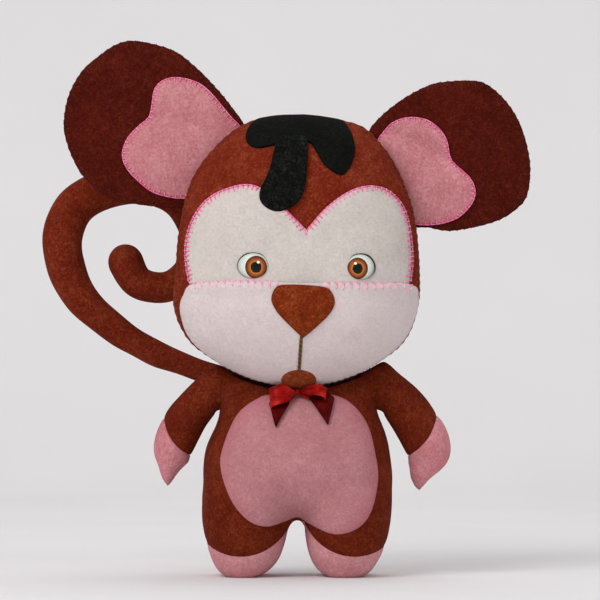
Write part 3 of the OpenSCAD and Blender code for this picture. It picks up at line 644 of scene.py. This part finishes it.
blocks = []
for side, way in SIDES:
    block = foot_block(way)
    foot = shown(trunk.copy())
    foot.data = trunk.data.copy()
    foot.name = f"foot_{side}_form"
    one_felt(applied(split(foot, block, "INTERSECT")), FOOT_FELT)
    blocks.append(block)
    sewn(foot, "torso", [f"foot_{side}"])
for block in blocks:
    split(trunk, block, "DIFFERENCE")
one_felt(applied(trunk), BODY_FELT)
for block in blocks:
    bpy.data.objects.remove(block)
sewn(trunk, "torso", ["body_front", "body_back", "body_stuffing"])
CHEST = Ground(trunk)


# Arms

# Outward and downward from the shoulder as shares of the length and lean of the ring; half width and half
# thickness as shares of width and thickness, and bow of the ring along the arm
SLEEVE_LINE = [(-0.2, -0.02, 90), (0.003, -0.031, 90), (0.112, 0.056, 71.6), (0.244, 0.199, 48.8),
               (0.383, 0.425, 54.8)]
SLEEVE_FORM = [(0.36, 0.33, 0), (0.473, 0.4, 0), (0.433, 0.45, 0), (0.427, 0.5, 0), (0.49, 0.49, 3)]
# Width, the hand's own stations, its point, and how far the arm is sewn outward and up
ARMS = {
    "left": (24.3, [(0.457, 0.608, 28), (0.466, 0.7245, 17), (0.47, 0.822, 6)],
             [(0.375, 0.43, 1), (0.21, 0.33, 0), (0.085, 0.18, 0)], (0.47, 0.885), (-0.6, 0)),
    "right": (26.7, [(0.453, 0.6, 28), (0.441, 0.75, 20.4), (0.379, 0.859, 21.7)],
              [(0.45, 0.43, 1), (0.358, 0.33, 0), (0.15, 0.18, 0)], (0.355, 0.938), (1.1, 0.7)),
}
ARM_LEN, ARM_THICK, ARM_SIDES, SHOULDER = 55, 20, 36, (40.4, 93.5)
# Steps between two stations, and the stations of the wrist seam and of the last ring
ARM_STEPS, WRIST, LAST = 6, 4, 7


def arm_rings(way, side, first, last, seed):
    """Rings of an arm between two of its stations, drawn in at the wrist seam."""
    width, hand_line, hand_form, _, (beside, above) = ARMS[side]
    line, form = open_curve(SLEEVE_LINE + hand_line, ARM_STEPS), open_curve(SLEEVE_FORM + hand_form, ARM_STEPS)
    rings = []
    for k in range(first * ARM_STEPS, last * ARM_STEPS + 1):
        (out, down, lean), (half, deep, bow) = line[k], form[k]
        lean = math.radians(lean)
        mid = Vector((SHOULDER[0] + beside + out * ARM_LEN, SHOULDER[1] + above - down * ARM_LEN))
        drawn = 0.45 * bell(k - WRIST * ARM_STEPS, 0.625)
        ring = []
        for c, s in circle(ARM_SIDES):
            q = mid + Vector((math.cos(lean), math.sin(lean))) * (half * width - drawn) * c
            q += Vector((math.sin(lean), -math.cos(lean))) * bow * s * s
            spot = Vector((way * q.x, -way * (deep * ARM_THICK - drawn) * s, q.y))
            out_way = Vector((way * math.cos(lean) * c, -way * s, math.sin(lean) * c))
            spot += out_way * lumps(spot, 13, 0.7, seed)
            spot.z = min(spot.z, under_chin(spot.x, spot.y))
            ring.append(spot)
        rings.append(ring)
    return rings


def shrunk(ring):
    """A ring drawn towards its middle, to keep a sewn end crisp."""
    middle = middle_of(ring)
    return [middle + (p - middle) * 0.94 for p in ring]


for side, way in SIDES:
    rings = arm_rings(way, side, 0, WRIST, 7.7 * way)
    sleeve = rounded(skinned(f"sleeve_{side}", [*rings, shrunk(rings[-1])], BODY_FELT))
    sewn(sleeve, ("torso", f"arm_{side}", (way * 0.037, 0, 0.0935), (way * 0.051, 0, 0.0885)),
         [f"arm_{side}_sleeve", f"arm_{side}_stuffing"])
    rings = arm_rings(way, side, WRIST, LAST, 7.7 * way)
    (out, down), (beside, above) = ARMS[side][3:]
    tip = (way * (SHOULDER[0] + beside + out * ARM_LEN), 0, SHOULDER[1] + above - down * ARM_LEN)
    hand = rounded(skinned(f"hand_{side}_form", [shrunk(rings[0]), *rings], PINK_FELT, (None, tip)))
    sewn(hand, f"arm_{side}", [f"hand_{side}"])


# Tail

# Middle line and radius, from the root to the curled end
TAIL = [(8, 12, 80, 5), (-6, 24.1, 87, 5.5), (-22, 34.1, 94, 5.7), (-52, 40, 103.5, 5.7), (-80.3, 40, 115.4, 6.8),
        (-108.9, 40, 137.1, 8.6), (-121, 40, 163.5, 10.2), (-114, 40, 188, 10.4), (-88, 40, 198, 9.8),
        (-61.5, 40, 190.8, 8.7), (-51.5, 40, 166, 7.8), (-63.5, 40, 146.9, 7.6), (-81, 40, 147.3, 8.4),
        (-88.3, 40, 158.7, 9)]
# Sides of a ring, and the one along which the back is closed by a drawn-in seam
TAIL_SIDES, TAIL_SEAM = 28, 7

route = open_curve(TAIL, 9)
for _ in range(6):
    route[1:-1] = [(a + 2 * b + c) / 4 for a, b, c in zip(route, route[1:], route[2:])]
rings = []
for i, v in enumerate(route):
    ahead = heading(route, i).xyz.normalized()
    across = Vector((0, 1, 0)).cross(ahead).normalized()
    up = ahead.cross(across)
    ring = []
    for k, (c, s) in enumerate(circle(TAIL_SIDES)):
        out = across * c + up * s
        closing = 0.9 * bell(k - TAIL_SEAM, 1.1)
        ring.append(v.xyz + out * (v.w - closing + lumps(v.xyz + out * v.w, 15, 0.8, 9.4)))
    rings.append(ring)
# The end is rounded over from its last ring
crest, last = route[-1].xyz, rings[-1]
for a in (22, 42, 60, 76):
    c, s = math.cos(math.radians(a)), math.sin(math.radians(a))
    rings.append([crest + (p - crest) * c + ahead * route[-1].w * s for p in last])
tail = rounded(skinned("tail_form", rings, TAIL_FELT, (None, crest + ahead * route[-1].w)))
sewn(tail, ("torso", "tail", (0.0, 0.022, 0.085), (-0.028, 0.037, 0.097)), ["tail_skin", "tail_stuffing", "tail_wire"])


# Felt patches


def laid_length(ground, a, b):
    """Length of a line laid on a form from one point to another."""
    line = [ground.at(Vector(a).lerp(Vector(b), i / 24)) for i in range(25)]
    return sum((q - p).length for p, q in zip(line, line[1:]))


def edge_rise(thick, puff, soft=0.8):
    """Height of a patch over its edge: rounded over at the cut, then swelling where it is padded."""
    return lambda d, share: thick * (0.3 + 0.7 * (1 - math.exp(-d / soft))) + puff * (1 - math.exp(-d / 6))


# Rings of a patch, as shares of the way from its middle to its edge
SHARES = [0.1, 0.25, 0.4, 0.54, 0.66, 0.76, 0.84, 0.9, 0.94, 0.968, 0.985, 1]
# Share of its height that a stitch pulls a patch down by, and where and how wide
PULL, PULL_AT = 0.28, 1.6


def patch(name, outline, middle, ground, height, material, body, nodes, rests_on=None, laid=None,
          lift=0.1, pitch=0, step=0.8):
    """A piece of felt on a form, its edge pulled down at each stitch; lift may change over the form. For felt that
    rests on a piece, the size that it was cut to is measured on the ground that it is laid on."""
    raised = lift if callable(lift) else lambda q: lift
    loop = even_steps(outline, step)
    under = [[ground.at(q, raised(q)) for q in (middle + (p - middle) * s for p in loop)] for s in SHARES]
    over = []
    for s in reversed(SHARES):
        ring = []
        for i, p in enumerate(loop):
            d = (p - middle).length * (1 - s)
            rise = height(d, s)
            if pitch:
                pull = 0.5 + 0.5 * math.cos(math.tau * i * step / pitch)
                rise -= PULL * rise * pull * bell(d - PULL_AT, PULL_AT)
            q = middle + (p - middle) * s
            rise += 0.12 * noise.noise(Vector((q.x / 5, q.y / 5, 1.7))) * min(1, d / 2)
            ring.append(ground.at(q, raised(q) + rise))
        over.append(ring)
    ends = [ground.at(middle, raised(middle) + rise) for rise in (0, height(30, 0))]
    made = sewn(skinned(name, under + over, material, ends), body, nodes)
    if rests_on:
        declare_cut(outline, laid or ground)


# Least side that a cut piece is measured at
SMALLEST_CUT = 10.2


def declare_cut(outline, ground):
    """Measures the size that a patch of felt was cut to; nothing is done with it."""
    low = Vector((min(p.x for p in outline), min(p.y for p in outline)))
    high = Vector((max(p.x for p in outline), max(p.y for p in outline)))
    mid = (low + high) / 2
    wide = laid_length(ground, (low.x, mid.y), (high.x, mid.y))
    tall = laid_length(ground, (mid.x, low.y), (mid.x, high.y))
    wide, tall = max(wide, SMALLEST_CUT) * MM, max(tall, SMALLEST_CUT) * MM


def thread(bm, path, radius, sides=5):
    """A run of thread along a path, closed at both ends."""
    rings, side = [], None
    for i, p in enumerate(path):
        ahead = heading(path, i).normalized()
        side = ahead.orthogonal() if side is None else side - ahead * side.dot(ahead)
        side.normalize()
        up = ahead.cross(side)
        r = radius * (0.7 if i in (0, len(path) - 1) else 1)
        rings.append([p + (side * c + up * s) * r for c, s in circle(sides)])
    skin(bm, rings, (path[0], path[-1]))


def inward(points, i):
    """Direction into a closed outline at one of its points, in the plane of the face."""
    ahead = points[(i + 1) % len(points)] - points[i - 1]
    return Vector((-ahead.y, ahead.x)).normalized()


def turned_left(outline):
    """The outline in the direction that has its inside on the left."""
    area = sum(a.x * b.y - b.x * a.y for a, b in round_pairs(outline))
    return outline if area > 0 else outline[::-1]


def blanket_stitch(name, outline, ground, pitch, depth, rise, radius, material, body, span=(0, 1), skip=None):
    """Blanket stitch round the edge of a patch: legs into the felt, joined by a thread along the edge."""
    points = even_steps(turned_left(outline), pitch)
    n = len(points)
    bm = bmesh.new()
    for i in range(int(span[0] * n), int(span[1] * n)):
        p, into = points[i], inward(points, i)
        leg = depth * random.uniform(0.82, 1.15)
        slant = Matrix.Rotation(random.uniform(-0.16, 0.16), 2) @ into
        if skip and skip(p):
            continue
        thread(bm, [ground.at(p - into * 0.3, rise * 0.2), ground.at(p, rise * 0.8 + radius),
                    ground.at(p + slant * leg * 0.4, rise + radius * 0.7),
                    ground.at(p + slant * leg * 0.75, rise + radius * 0.4),
                    ground.at(p + slant * leg, rise * 0.5)], radius)
        ahead = points[(i + 1) % n]
        thread(bm, [ground.at(p.lerp(ahead, t) - into * (0.2 - 0.5 * t * (1 - t)), rise * 0.6 + radius * 0.4)
                    for t in (0, 0.33, 0.67, 1)], radius)
    sewn(piece(name, bm, material), body, [])


def whip_stitch(name, outline, ground, pitch, depth, radius, material, body, keep=None):
    """Whip stitch over a sewn edge, from the front round to the back."""
    points = even_steps(turned_left(outline), pitch)
    bm = bmesh.new()
    for i, p in enumerate(points):
        if keep and not keep(p):
            continue
        into = inward(points, i)
        along = Vector((into.y, -into.x))
        leg, lean = depth * random.uniform(0.85, 1.15), along * random.uniform(0.2, 1.2)
        front = ground.at(p + into * leg + lean, -0.1)
        front_mid = ground.at(p + into * leg * 0.6 + lean * 0.5, radius * 0.6)
        back_mid = ground.at(p + into * leg * 0.6 - lean * 0.5, radius * 0.6, 1)
        back = ground.at(p + into * leg - lean, -0.1, 1)
        beyond = (front_mid + back_mid) / 2 - Vector((into.x, 0, into.y)) * (leg * 0.45 + 2)
        rim, normal = ground.tree.find_nearest(beyond * MM)[:2]
        thread(bm, [front, front_mid, rim / MM + normal * radius * 0.3, back_mid, back], radius)
    sewn(piece(name, bm, material), body, [])


# Face

MASK = [(0.068, 0.574), (-0.088, 0.644), (-0.257, 0.716), (-0.43, 0.741), (-0.685, 0.702), (-0.832, 0.627),
        (-0.9, 0.525), (-0.88, 0.41), (-0.82, 0.374), (-0.45, 0.368), (0, 0.366), (0.45, 0.364), (0.84, 0.37),
        (0.905, 0.41), (0.912, 0.52), (0.86, 0.645), (0.745, 0.714), (0.59, 0.737), (0.415, 0.717), (0.23, 0.657)]
MUZZLE = [(0, 0), (0.34, 0.018), (0.645, 0.078), (0.885, 0.168), (1, 0.285), (0.975, 0.345), (0.86, 0.379),
          (0.4, 0.382), (0, 0.384), (-0.4, 0.389), (-0.8, 0.381), (-0.92, 0.343), (-0.953, 0.278), (-0.866, 0.17),
          (-0.64, 0.078), (-0.33, 0.018)]
NOSE = [(0, -1), (0.42, -0.58), (0.82, -0.1), (1, 0.38), (0.82, 0.85), (0.4, 0.96), (-0.4, 0.96), (-0.82, 0.85),
        (-1, 0.38), (-0.82, -0.1), (-0.42, -0.58)]
EYE = [(0, -1), (0.55, -0.85), (0.9, -0.45), (1, 0.05), (0.85, 0.55), (0.5, 0.9), (0, 1), (-0.5, 0.88), (-0.85, 0.5),
       (-1, 0), (-0.9, -0.5), (-0.55, -0.86)]
CROWN_HAIR = [(0.225, 1.007), (-0.05, 1.01), (-0.31, 0.99), (-0.41, 0.945), (-0.41, 0.9), (-0.32, 0.878),
              (-0.12, 0.895), (0.08, 0.9), (0.15, 0.862), (0.22, 0.812), (0.355, 0.778), (0.44, 0.83), (0.455, 0.9),
              (0.38, 0.972)]
FORELOCK = [(-0.05, 0.915), (-0.165, 0.905), (-0.225, 0.8), (-0.305, 0.715), (-0.28, 0.668), (-0.17, 0.643),
            (-0.045, 0.662), (0.045, 0.712), (0.072, 0.8), (0.07, 0.905)]
FELT = 1.4
MUZZLE_TOP = on_face(0, 0.379).y
# Pitch of the stitches round the mask and the muzzle
MASK_PITCH, MUZZLE_PITCH = 2.5, 3.6


def over_mask(q):
    """How far a point has come up over the edge of the mask, from 0 to 1."""
    return max(0, min(1, (q.y - MUZZLE_TOP + 5) / 4.5))


# The heart top of the mask keeps a sharp notch, so its outline is open there
mask_edge = open_curve([on_face(*u) for u in [*MASK, MASK[0]]], 8)[:-1]
patch("mask_felt", mask_edge, on_face(0.03, 0.5), FACE, edge_rise(FELT, 0.3), WHITE_FELT, "head", ["face_mask"],
      "head_form", pitch=MASK_PITCH)
blanket_stitch("mask_stitches", mask_edge, FACE, MASK_PITCH, 3.0, FELT, 0.38, PINK_THREAD, "head",
               skip=lambda p: p.y < MUZZLE_TOP + 1)

muzzle_edge = closed_curve([on_face(*u) for u in MUZZLE], 8)
# Its top edge lies over the mask
patch("muzzle_felt", muzzle_edge, on_face(0.01, 0.2), CHEEKS, edge_rise(FELT, 0.9, 2.2), MUZZLE_FELT, "head",
      ["muzzle"], "head_form", FACE, lift=lambda q: 0.1 + 1.7 * over_mask(q), pitch=MUZZLE_PITCH)
blanket_stitch("muzzle_stitches", muzzle_edge, CHEEKS, MUZZLE_PITCH, 3.4, FELT + 1.3, 0.42, PALE_THREAD, "head",
               span=(0.31, 0.7), skip=lambda p: -8 < p.x < 12 or p.x > 56 or p.y < MUZZLE_TOP - 2)

nose_mid = on_face(0.04, 0.378) - Vector((0, 12.5))
# Its top edge drops a little to the right
nose_edge = open_curve([nose_mid + Vector((x * 15.5, z * 12.8 - x * 0.7)) for x, z in [*NOSE, NOSE[0]]], 6)[:-1]
patch("nose_felt", nose_edge, nose_mid, FACE, edge_rise(1.5, 1.5), NOSE_FELT, "head", ["nose"],
      "muzzle_felt", lift=lambda q: 2.4 + over_mask(q), step=0.6)

mouth_mid = on_face(0.006, 0.039)
mouth_edge = [mouth_mid + Vector((8.5 * c, 5 * s)) for c, s in circle(48)]
patch("mouth_felt", mouth_edge, mouth_mid, CHEEKS, edge_rise(1.2, 0.5), MOUTH_FELT, "head", ["mouth"],
      "muzzle_felt", FACE, lift=2, step=0.5)

lip = [nose_mid + Vector((-0.8, -11.6)), mouth_mid + Vector((0, 3.8))]
bm = bmesh.new()
for shift in (-0.4, 0.4):
    thread(bm, [FACE.at(lip[0].lerp(lip[1], i / 10) + Vector((shift, 0)), 2.6) for i in range(11)], 0.44, 6)
sewn(piece("lip_line", bm, OLIVE_THREAD), "head", ["lip_thread"])


def dome(_, share):
    """Height of the clear dome of an eye over its edge."""
    return 0.5 + 2.3 * math.sqrt(max(0, 1 - share**2.2))


# Side, way to the nose, middle and half width, middle and radius of the iris
for side, way, middle, half, iris, iris_r in (
    ("left", 1, Vector((-22.2, 156.1)), 7.6, (-20.7, 155.2), 5.4),
    ("right", -1, Vector((30.9, 155.5)), 6.75, (29.5, 154.6), 5.1),
):
    loop = closed_curve([middle + Vector((way * x * half, z * EYE_HIGH)) for x, z in EYE], 6)
    look = domed_eye(f"printed_eye_{side}", middle, half, iris, iris_r, way)
    patch(f"eye_{side}", loop, middle, FACE, dome, look, "head", [f"eye_{side}_print", f"eye_{side}_dome"],
          lift=FELT, step=0.35)

for name, points, middle, lift, node, felt in (
    ("hair_crown_felt", CROWN_HAIR, on_face(0.13, 0.935), 0.1, "hair_crown", CROWN_BLACK),
    ("forelock_felt", FORELOCK, on_face(-0.08, 0.78), 1.3, "hair_forelock", BLACK_FELT),
):
    loop = closed_curve([on_face(*u) for u in points], 8)
    patch(name, loop, middle, CROWN, edge_rise(FELT, 0, 0.25), felt, "head", [node], "head_form",
          lift=lift, step=0.6)

whip_stitch("head_seam_stitches", HEAD_LOOP, Ground(head), 3.4, 2.0, 0.26, DARK_THREAD, "head")


# Ears

# Depth of its seam in the head, half thickness, and pitch of the lining's stitches
EAR_Y, EAR_HALF, LINING_PITCH = 2, 4.2, 2.9
# Edge of the ear and of its lining, each with its last four points inside the head; middles of both, a point of the
# sewn root and the way out from it
EARS = {
    "left": {
        "edge": [(-27.7, 226.5), (-34, 236), (-41.5, 245.2), (-52.7, 256.5), (-64, 264.6), (-81.5, 269),
                 (-91.5, 267.2), (-101.5, 260.4), (-109, 253.3), (-115.2, 241.5), (-117.5, 227.7), (-115.5, 217.1),
                 (-111.5, 207.7), (-107.1, 200.9), (-97.7, 192.7), (-87.7, 189.2), (-74, 187.1), (-61.5, 186),
                 (-54, 187.5), (-49, 198), (-40, 209), (-30, 218)],
        "lining": [(-29, 226), (-34, 231), (-41.5, 240.2), (-47.7, 246.5), (-54, 249.6), (-61.5, 250.9),
                   (-67.7, 249.6), (-72.1, 245.2), (-73.4, 237.7), (-75, 231), (-80.2, 226.5), (-85.9, 220.2),
                   (-88.4, 212.1), (-85.9, 205.2), (-80.2, 199), (-74, 194), (-66.5, 191.5), (-59, 190.5),
                   (-54, 192), (-47.5, 203.5), (-38, 214.5), (-29, 222.5)],
        "middle": (-74, 227), "heart": (-58, 217), "hinge": (-51.5, 203), "out": (-0.765, 0.644),
    },
    "right": {
        "edge": [(58.9, 176.9), (66, 176.3), (71.9, 175), (78.5, 174.7), (91, 176.9), (102.7, 180.7), (111.9, 187.4),
                 (115.2, 193.2), (116.4, 202.4), (116, 210.7), (113.5, 221.5), (109.4, 231.5), (102.7, 240.7),
                 (94.4, 247.4), (86.9, 249), (74.4, 248.4), (66, 246.5), (53.5, 239.9), (41, 229.9),
                 (36, 221), (43, 208), (49, 196), (53.5, 184)],
        "lining": [(58.5, 177.7), (69.4, 177.4), (77.7, 179.4), (82.7, 182.3), (87.7, 188.1), (89.2, 194),
                   (86.9, 199.9), (82.7, 204), (78.2, 208), (76.4, 212.3), (74.7, 219.8), (71, 225.2), (65.2, 229.4),
                   (57.7, 230.8), (51, 229.7), (46, 226.9), (41, 220.6),
                   (40, 215.5), (46, 204), (51.5, 192.5), (55.5, 181)],
        "middle": (76, 211), "heart": (63, 204), "hinge": (55.3, 193.8), "out": (0.898, 0.44),
    },
}


def ear_bend(side):
    """Soft folds of an ear, backward, in millimetres; the right one has a crease."""
    start, line = Vector((46, 224)), Vector((28, -13))

    def bend(q):
        fold = 1.3 * noise.noise(Vector((q.x / 24, q.y / 24, 4.4)))
        if side == "right":
            t = max(0, min(1, (q - start).dot(line) / line.length_squared))
            fold += 2.2 * bell((q - start - line * t).length, 4.5)
        return fold

    return bend


for side, way in SIDES:
    ear = EARS[side]
    loop = even_steps(closed_curve(ear["edge"], 6), 1.2)
    middle, hinge, out = Vector(ear["middle"]), Vector(ear["hinge"]), Vector(ear["out"])
    near, far = hinge - out * 4, hinge + out * 9
    turn = ("head", f"ear_{side}", (near.x * MM, EAR_Y * MM, near.y * MM), (far.x * MM, EAR_Y * MM, far.y * MM))
    felt = pillow(f"ear_{side}_form", loop, middle, EAR_Y, EAR_HALF, EAR_HALF, full=2, material=EAR_FELT, turns=18,
                  pucker=0.12, lump=(20, 0.5, 6.6 * way), bend=ear_bend(side), draw=-0.8)
    sewn(felt, turn, [f"ear_{side}_front", f"ear_{side}_back", f"ear_{side}_batting"])
    ground = Ground(felt)
    lining_edge = closed_curve(ear["lining"], 6)
    patch(f"ear_{side}_lining_felt", lining_edge, Vector(ear["heart"]), ground, edge_rise(1.2, 0.2), PINK_FELT, turn,
          [f"ear_{side}_lining"], f"ear_{side}_form", pitch=LINING_PITCH)
    blanket_stitch(f"ear_{side}_lining_stitches", lining_edge, ground, LINING_PITCH, 2.2, 1.2, 0.3, PINK_THREAD, turn)
    whip_stitch(f"ear_{side}_rim_stitches", loop, ground, 3.6, 2.8, 0.26, DARK_THREAD, turn,
                keep=lambda p, h=hinge, o=out: (p - h).dot(o) > 3)


# Belly

# The right lobe hangs a little lower than the left one
BELLY = [(0, 30.6), (6, 27.2), (18, 22.4), (29, 25), (36, 33), (39.6, 47.8), (38.8, 60), (34.6, 76.5), (26, 87.5),
         (15, 91.8), (0, 92.3), (-13, 91.6), (-20, 89.6), (-30.3, 81.5), (-37.4, 65), (-38.2, 54), (-33, 39),
         (-24.5, 29), (-15.3, 26.2), (-6, 28.8)]
patch("belly_felt", closed_curve(BELLY, 8), Vector((0, 59)), CHEST, edge_rise(1.0, 0.6, 2.2), BELLY_FELT, "torso",
      ["belly_patch"], "trunk_form")


# Ribbon bow

# Places across the ribbon, half its thickness, and the half width under which it gathers
ACROSS, SATIN_HALF, GATHERED = (-1, -0.5, 0, 0.5, 1), 0.25, 5.5


def ribbon(name, line, halves, normals, material, node):
    """A strip of ribbon along a line, with its half width at each point and gathers where it is narrow."""
    rings = []
    for p, a, n in zip(line, halves, normals):
        waves = [(u, math.cos(math.tau * u) * max(0, 1 - a.length / GATHERED)) for u in ACROSS]
        top = [p + a * u + n * (w + SATIN_HALF) for u, w in waves]
        rings.append(top + [p + a * u + n * (w - SATIN_HALF) for u, w in reversed(waves)])
    made = sewn(rounded(skinned(name, rings, material)), "torso", [node])


KNOT = Vector((0, CHEST.at((0, 88), 3.2).y, 92))
lean = Matrix.Rotation(math.radians(-30), 3, "X")
# Middle line of a loop, outward, backward and up from the knot
LOOP = [(1.2, 0, 0.8), (5, -2.4, -0.2), (10.5, -3, -1.6), (14, -0.6, -2.4), (11.5, 2.2, -2), (6, 1.6, -0.6),
        (1.2, 0.6, 0.8)]
# Half width that a loop opens to and how far it rises; the right one is twisted and sits higher
LOOP_OPEN, LOOP_NECK = {"left": (5.7, -0.5), "right": (3.2, 2.3)}, 1.1
# Top, tip and half width of each tail, and how far it lies over the chest
TAIL_LIFT = 2.2
TAILS = {"left": ((-8.8, 89), (-10.8, 74.8), 5.3), "right": ((10.8, 92), (14.4, 76), 6.6)}
for side, way in SIDES:
    drop = open_curve(LOOP, 5)
    wide, rise = LOOP_OPEN[side]
    line = [KNOT + lean @ Vector((way * p.x, p.y, p.z + rise * min(1, p.x / 11))) for p in drop]
    halves = [lean @ Vector((way * 0.1, 0, 1)) * (LOOP_NECK + (wide - LOOP_NECK) * min(1, max(0, p.x - 1.2) / 5))
              for p in drop]
    normals = [heading(line, i).cross(half).normalized() for i, half in enumerate(halves)]
    ribbon(f"bow_loop_{side}_satin", line, halves, normals, SATIN, f"bow_loop_{side}")
    top, tip, widest = TAILS[side]
    line, halves, normals = [], [], []
    for i in range(15):
        s = i / 14
        mid = Vector(top).lerp(Vector(tip), s)
        half = widest * min(0.45 + 2.7 * s, 1.25 * (1 - s) + 0.05)
        a, b = (CHEST.at(mid + Vector((reach, 0)), TAIL_LIFT) for reach in (-half, half))
        line.append(CHEST.at(mid, TAIL_LIFT + 0.9 * math.sin(math.pi * s)))
        halves.append((b - a).normalized() * half)
        normals.append(Vector((0, -1, 0.15)).normalized())
    # The tails take the darker satin, whose darkness is painted shade
    ribbon(f"bow_tail_{side}_satin", line, halves, normals, SATIN_BACK_SHADED, f"bow_tail_{side}")
rings = []
for i in range(9):
    u = i / 4 - 1
    r = 1 + 0.25 * (1 - u * u)
    rings.append([KNOT + lean @ Vector((r * c, r * s, 1 + 1.2 * u)) for c, s in circle(20)])
sewn(rounded(skinned("bow_knot_satin", rings, SATIN)), "torso", ["bow_knot"])

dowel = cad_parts["neck_dowel"]
dowel.data.materials.clear()
dowel.data.materials.append(WOOD)


# Stage

# A card 10 m wide that runs level to FLOOR_END behind the toy and bends up to a wall, in metres
FLOOR_END, BEND, CARD_WIDE = 0.9, 0.5, 10
bm = bmesh.new()
turns = [math.pi / 2 * i / 10 for i in range(1, 11)]
profile = [(-4, 0), (FLOOR_END, 0), *((FLOOR_END + BEND * math.sin(a), BEND - BEND * math.cos(a)) for a in turns),
           (FLOOR_END + BEND, 4)]
line = [bm.verts.new((-CARD_WIDE / 2, y, z)) for y, z in profile]
edges = [bm.edges.new(pair) for pair in zip(line, line[1:])]
far = bmesh.ops.extrude_edge_only(bm, edges=edges)["geom"]
bmesh.ops.translate(bm, verts=verts_of(far), vec=(CARD_WIDE, 0, 0))
bm.normal_update()
if sum(f.normal.z for f in bm.faces) < 0:
    bmesh.ops.reverse_faces(bm, faces=bm.faces)
sweep = piece("sweep", bm, CARD, outward=False)


def lamp(name, spot, aim, size, power):
    """A square lamp that points from a spot to an aim."""
    light = bpy.data.lights.new(name, "AREA")
    light.energy, light.size = power, size
    made = shown(bpy.data.objects.new(name, light))
    made.location = spot
    made.rotation_mode = "QUATERNION"
    made.rotation_quaternion = (Vector(aim) - Vector(spot)).to_track_quat("-Z", "Y")


HEART = (0, 0, 0.14)
lamp("key", (-1.0, -1.4, 1.4), HEART, 1.2, 24)
lamp("fill", (1.3, -1.3, 0.7), HEART, 1.4, 4)
lamp("back", (0.2, 0.6, 1.6), (0, 0.3, 0.3), 1.2, 6)

scene = bpy.context.scene
world = bpy.data.worlds.new("studio")
scene.world = world
world.use_nodes = True
sky = world.node_tree.nodes["Background"].inputs
sky["Color"].default_value, sky["Strength"].default_value = linear("#f2f1f2"), 0.55

# The picture is 0.3 m across 2.4 m away, within the toy
SENSOR = 36
camera = bpy.data.cameras.new("camera")
camera.lens, camera.sensor_width = SENSOR * 2.4 / 0.3, SENSOR
camera.clip_start, camera.clip_end = 0.05, 50
viewer = shown(bpy.data.objects.new("camera", camera))
viewer.location = (0.001, -2.42, 0.139)
viewer.rotation_euler = (math.pi / 2, 0, 0)
scene.camera = viewer
scene.view_settings.view_transform = "Standard"
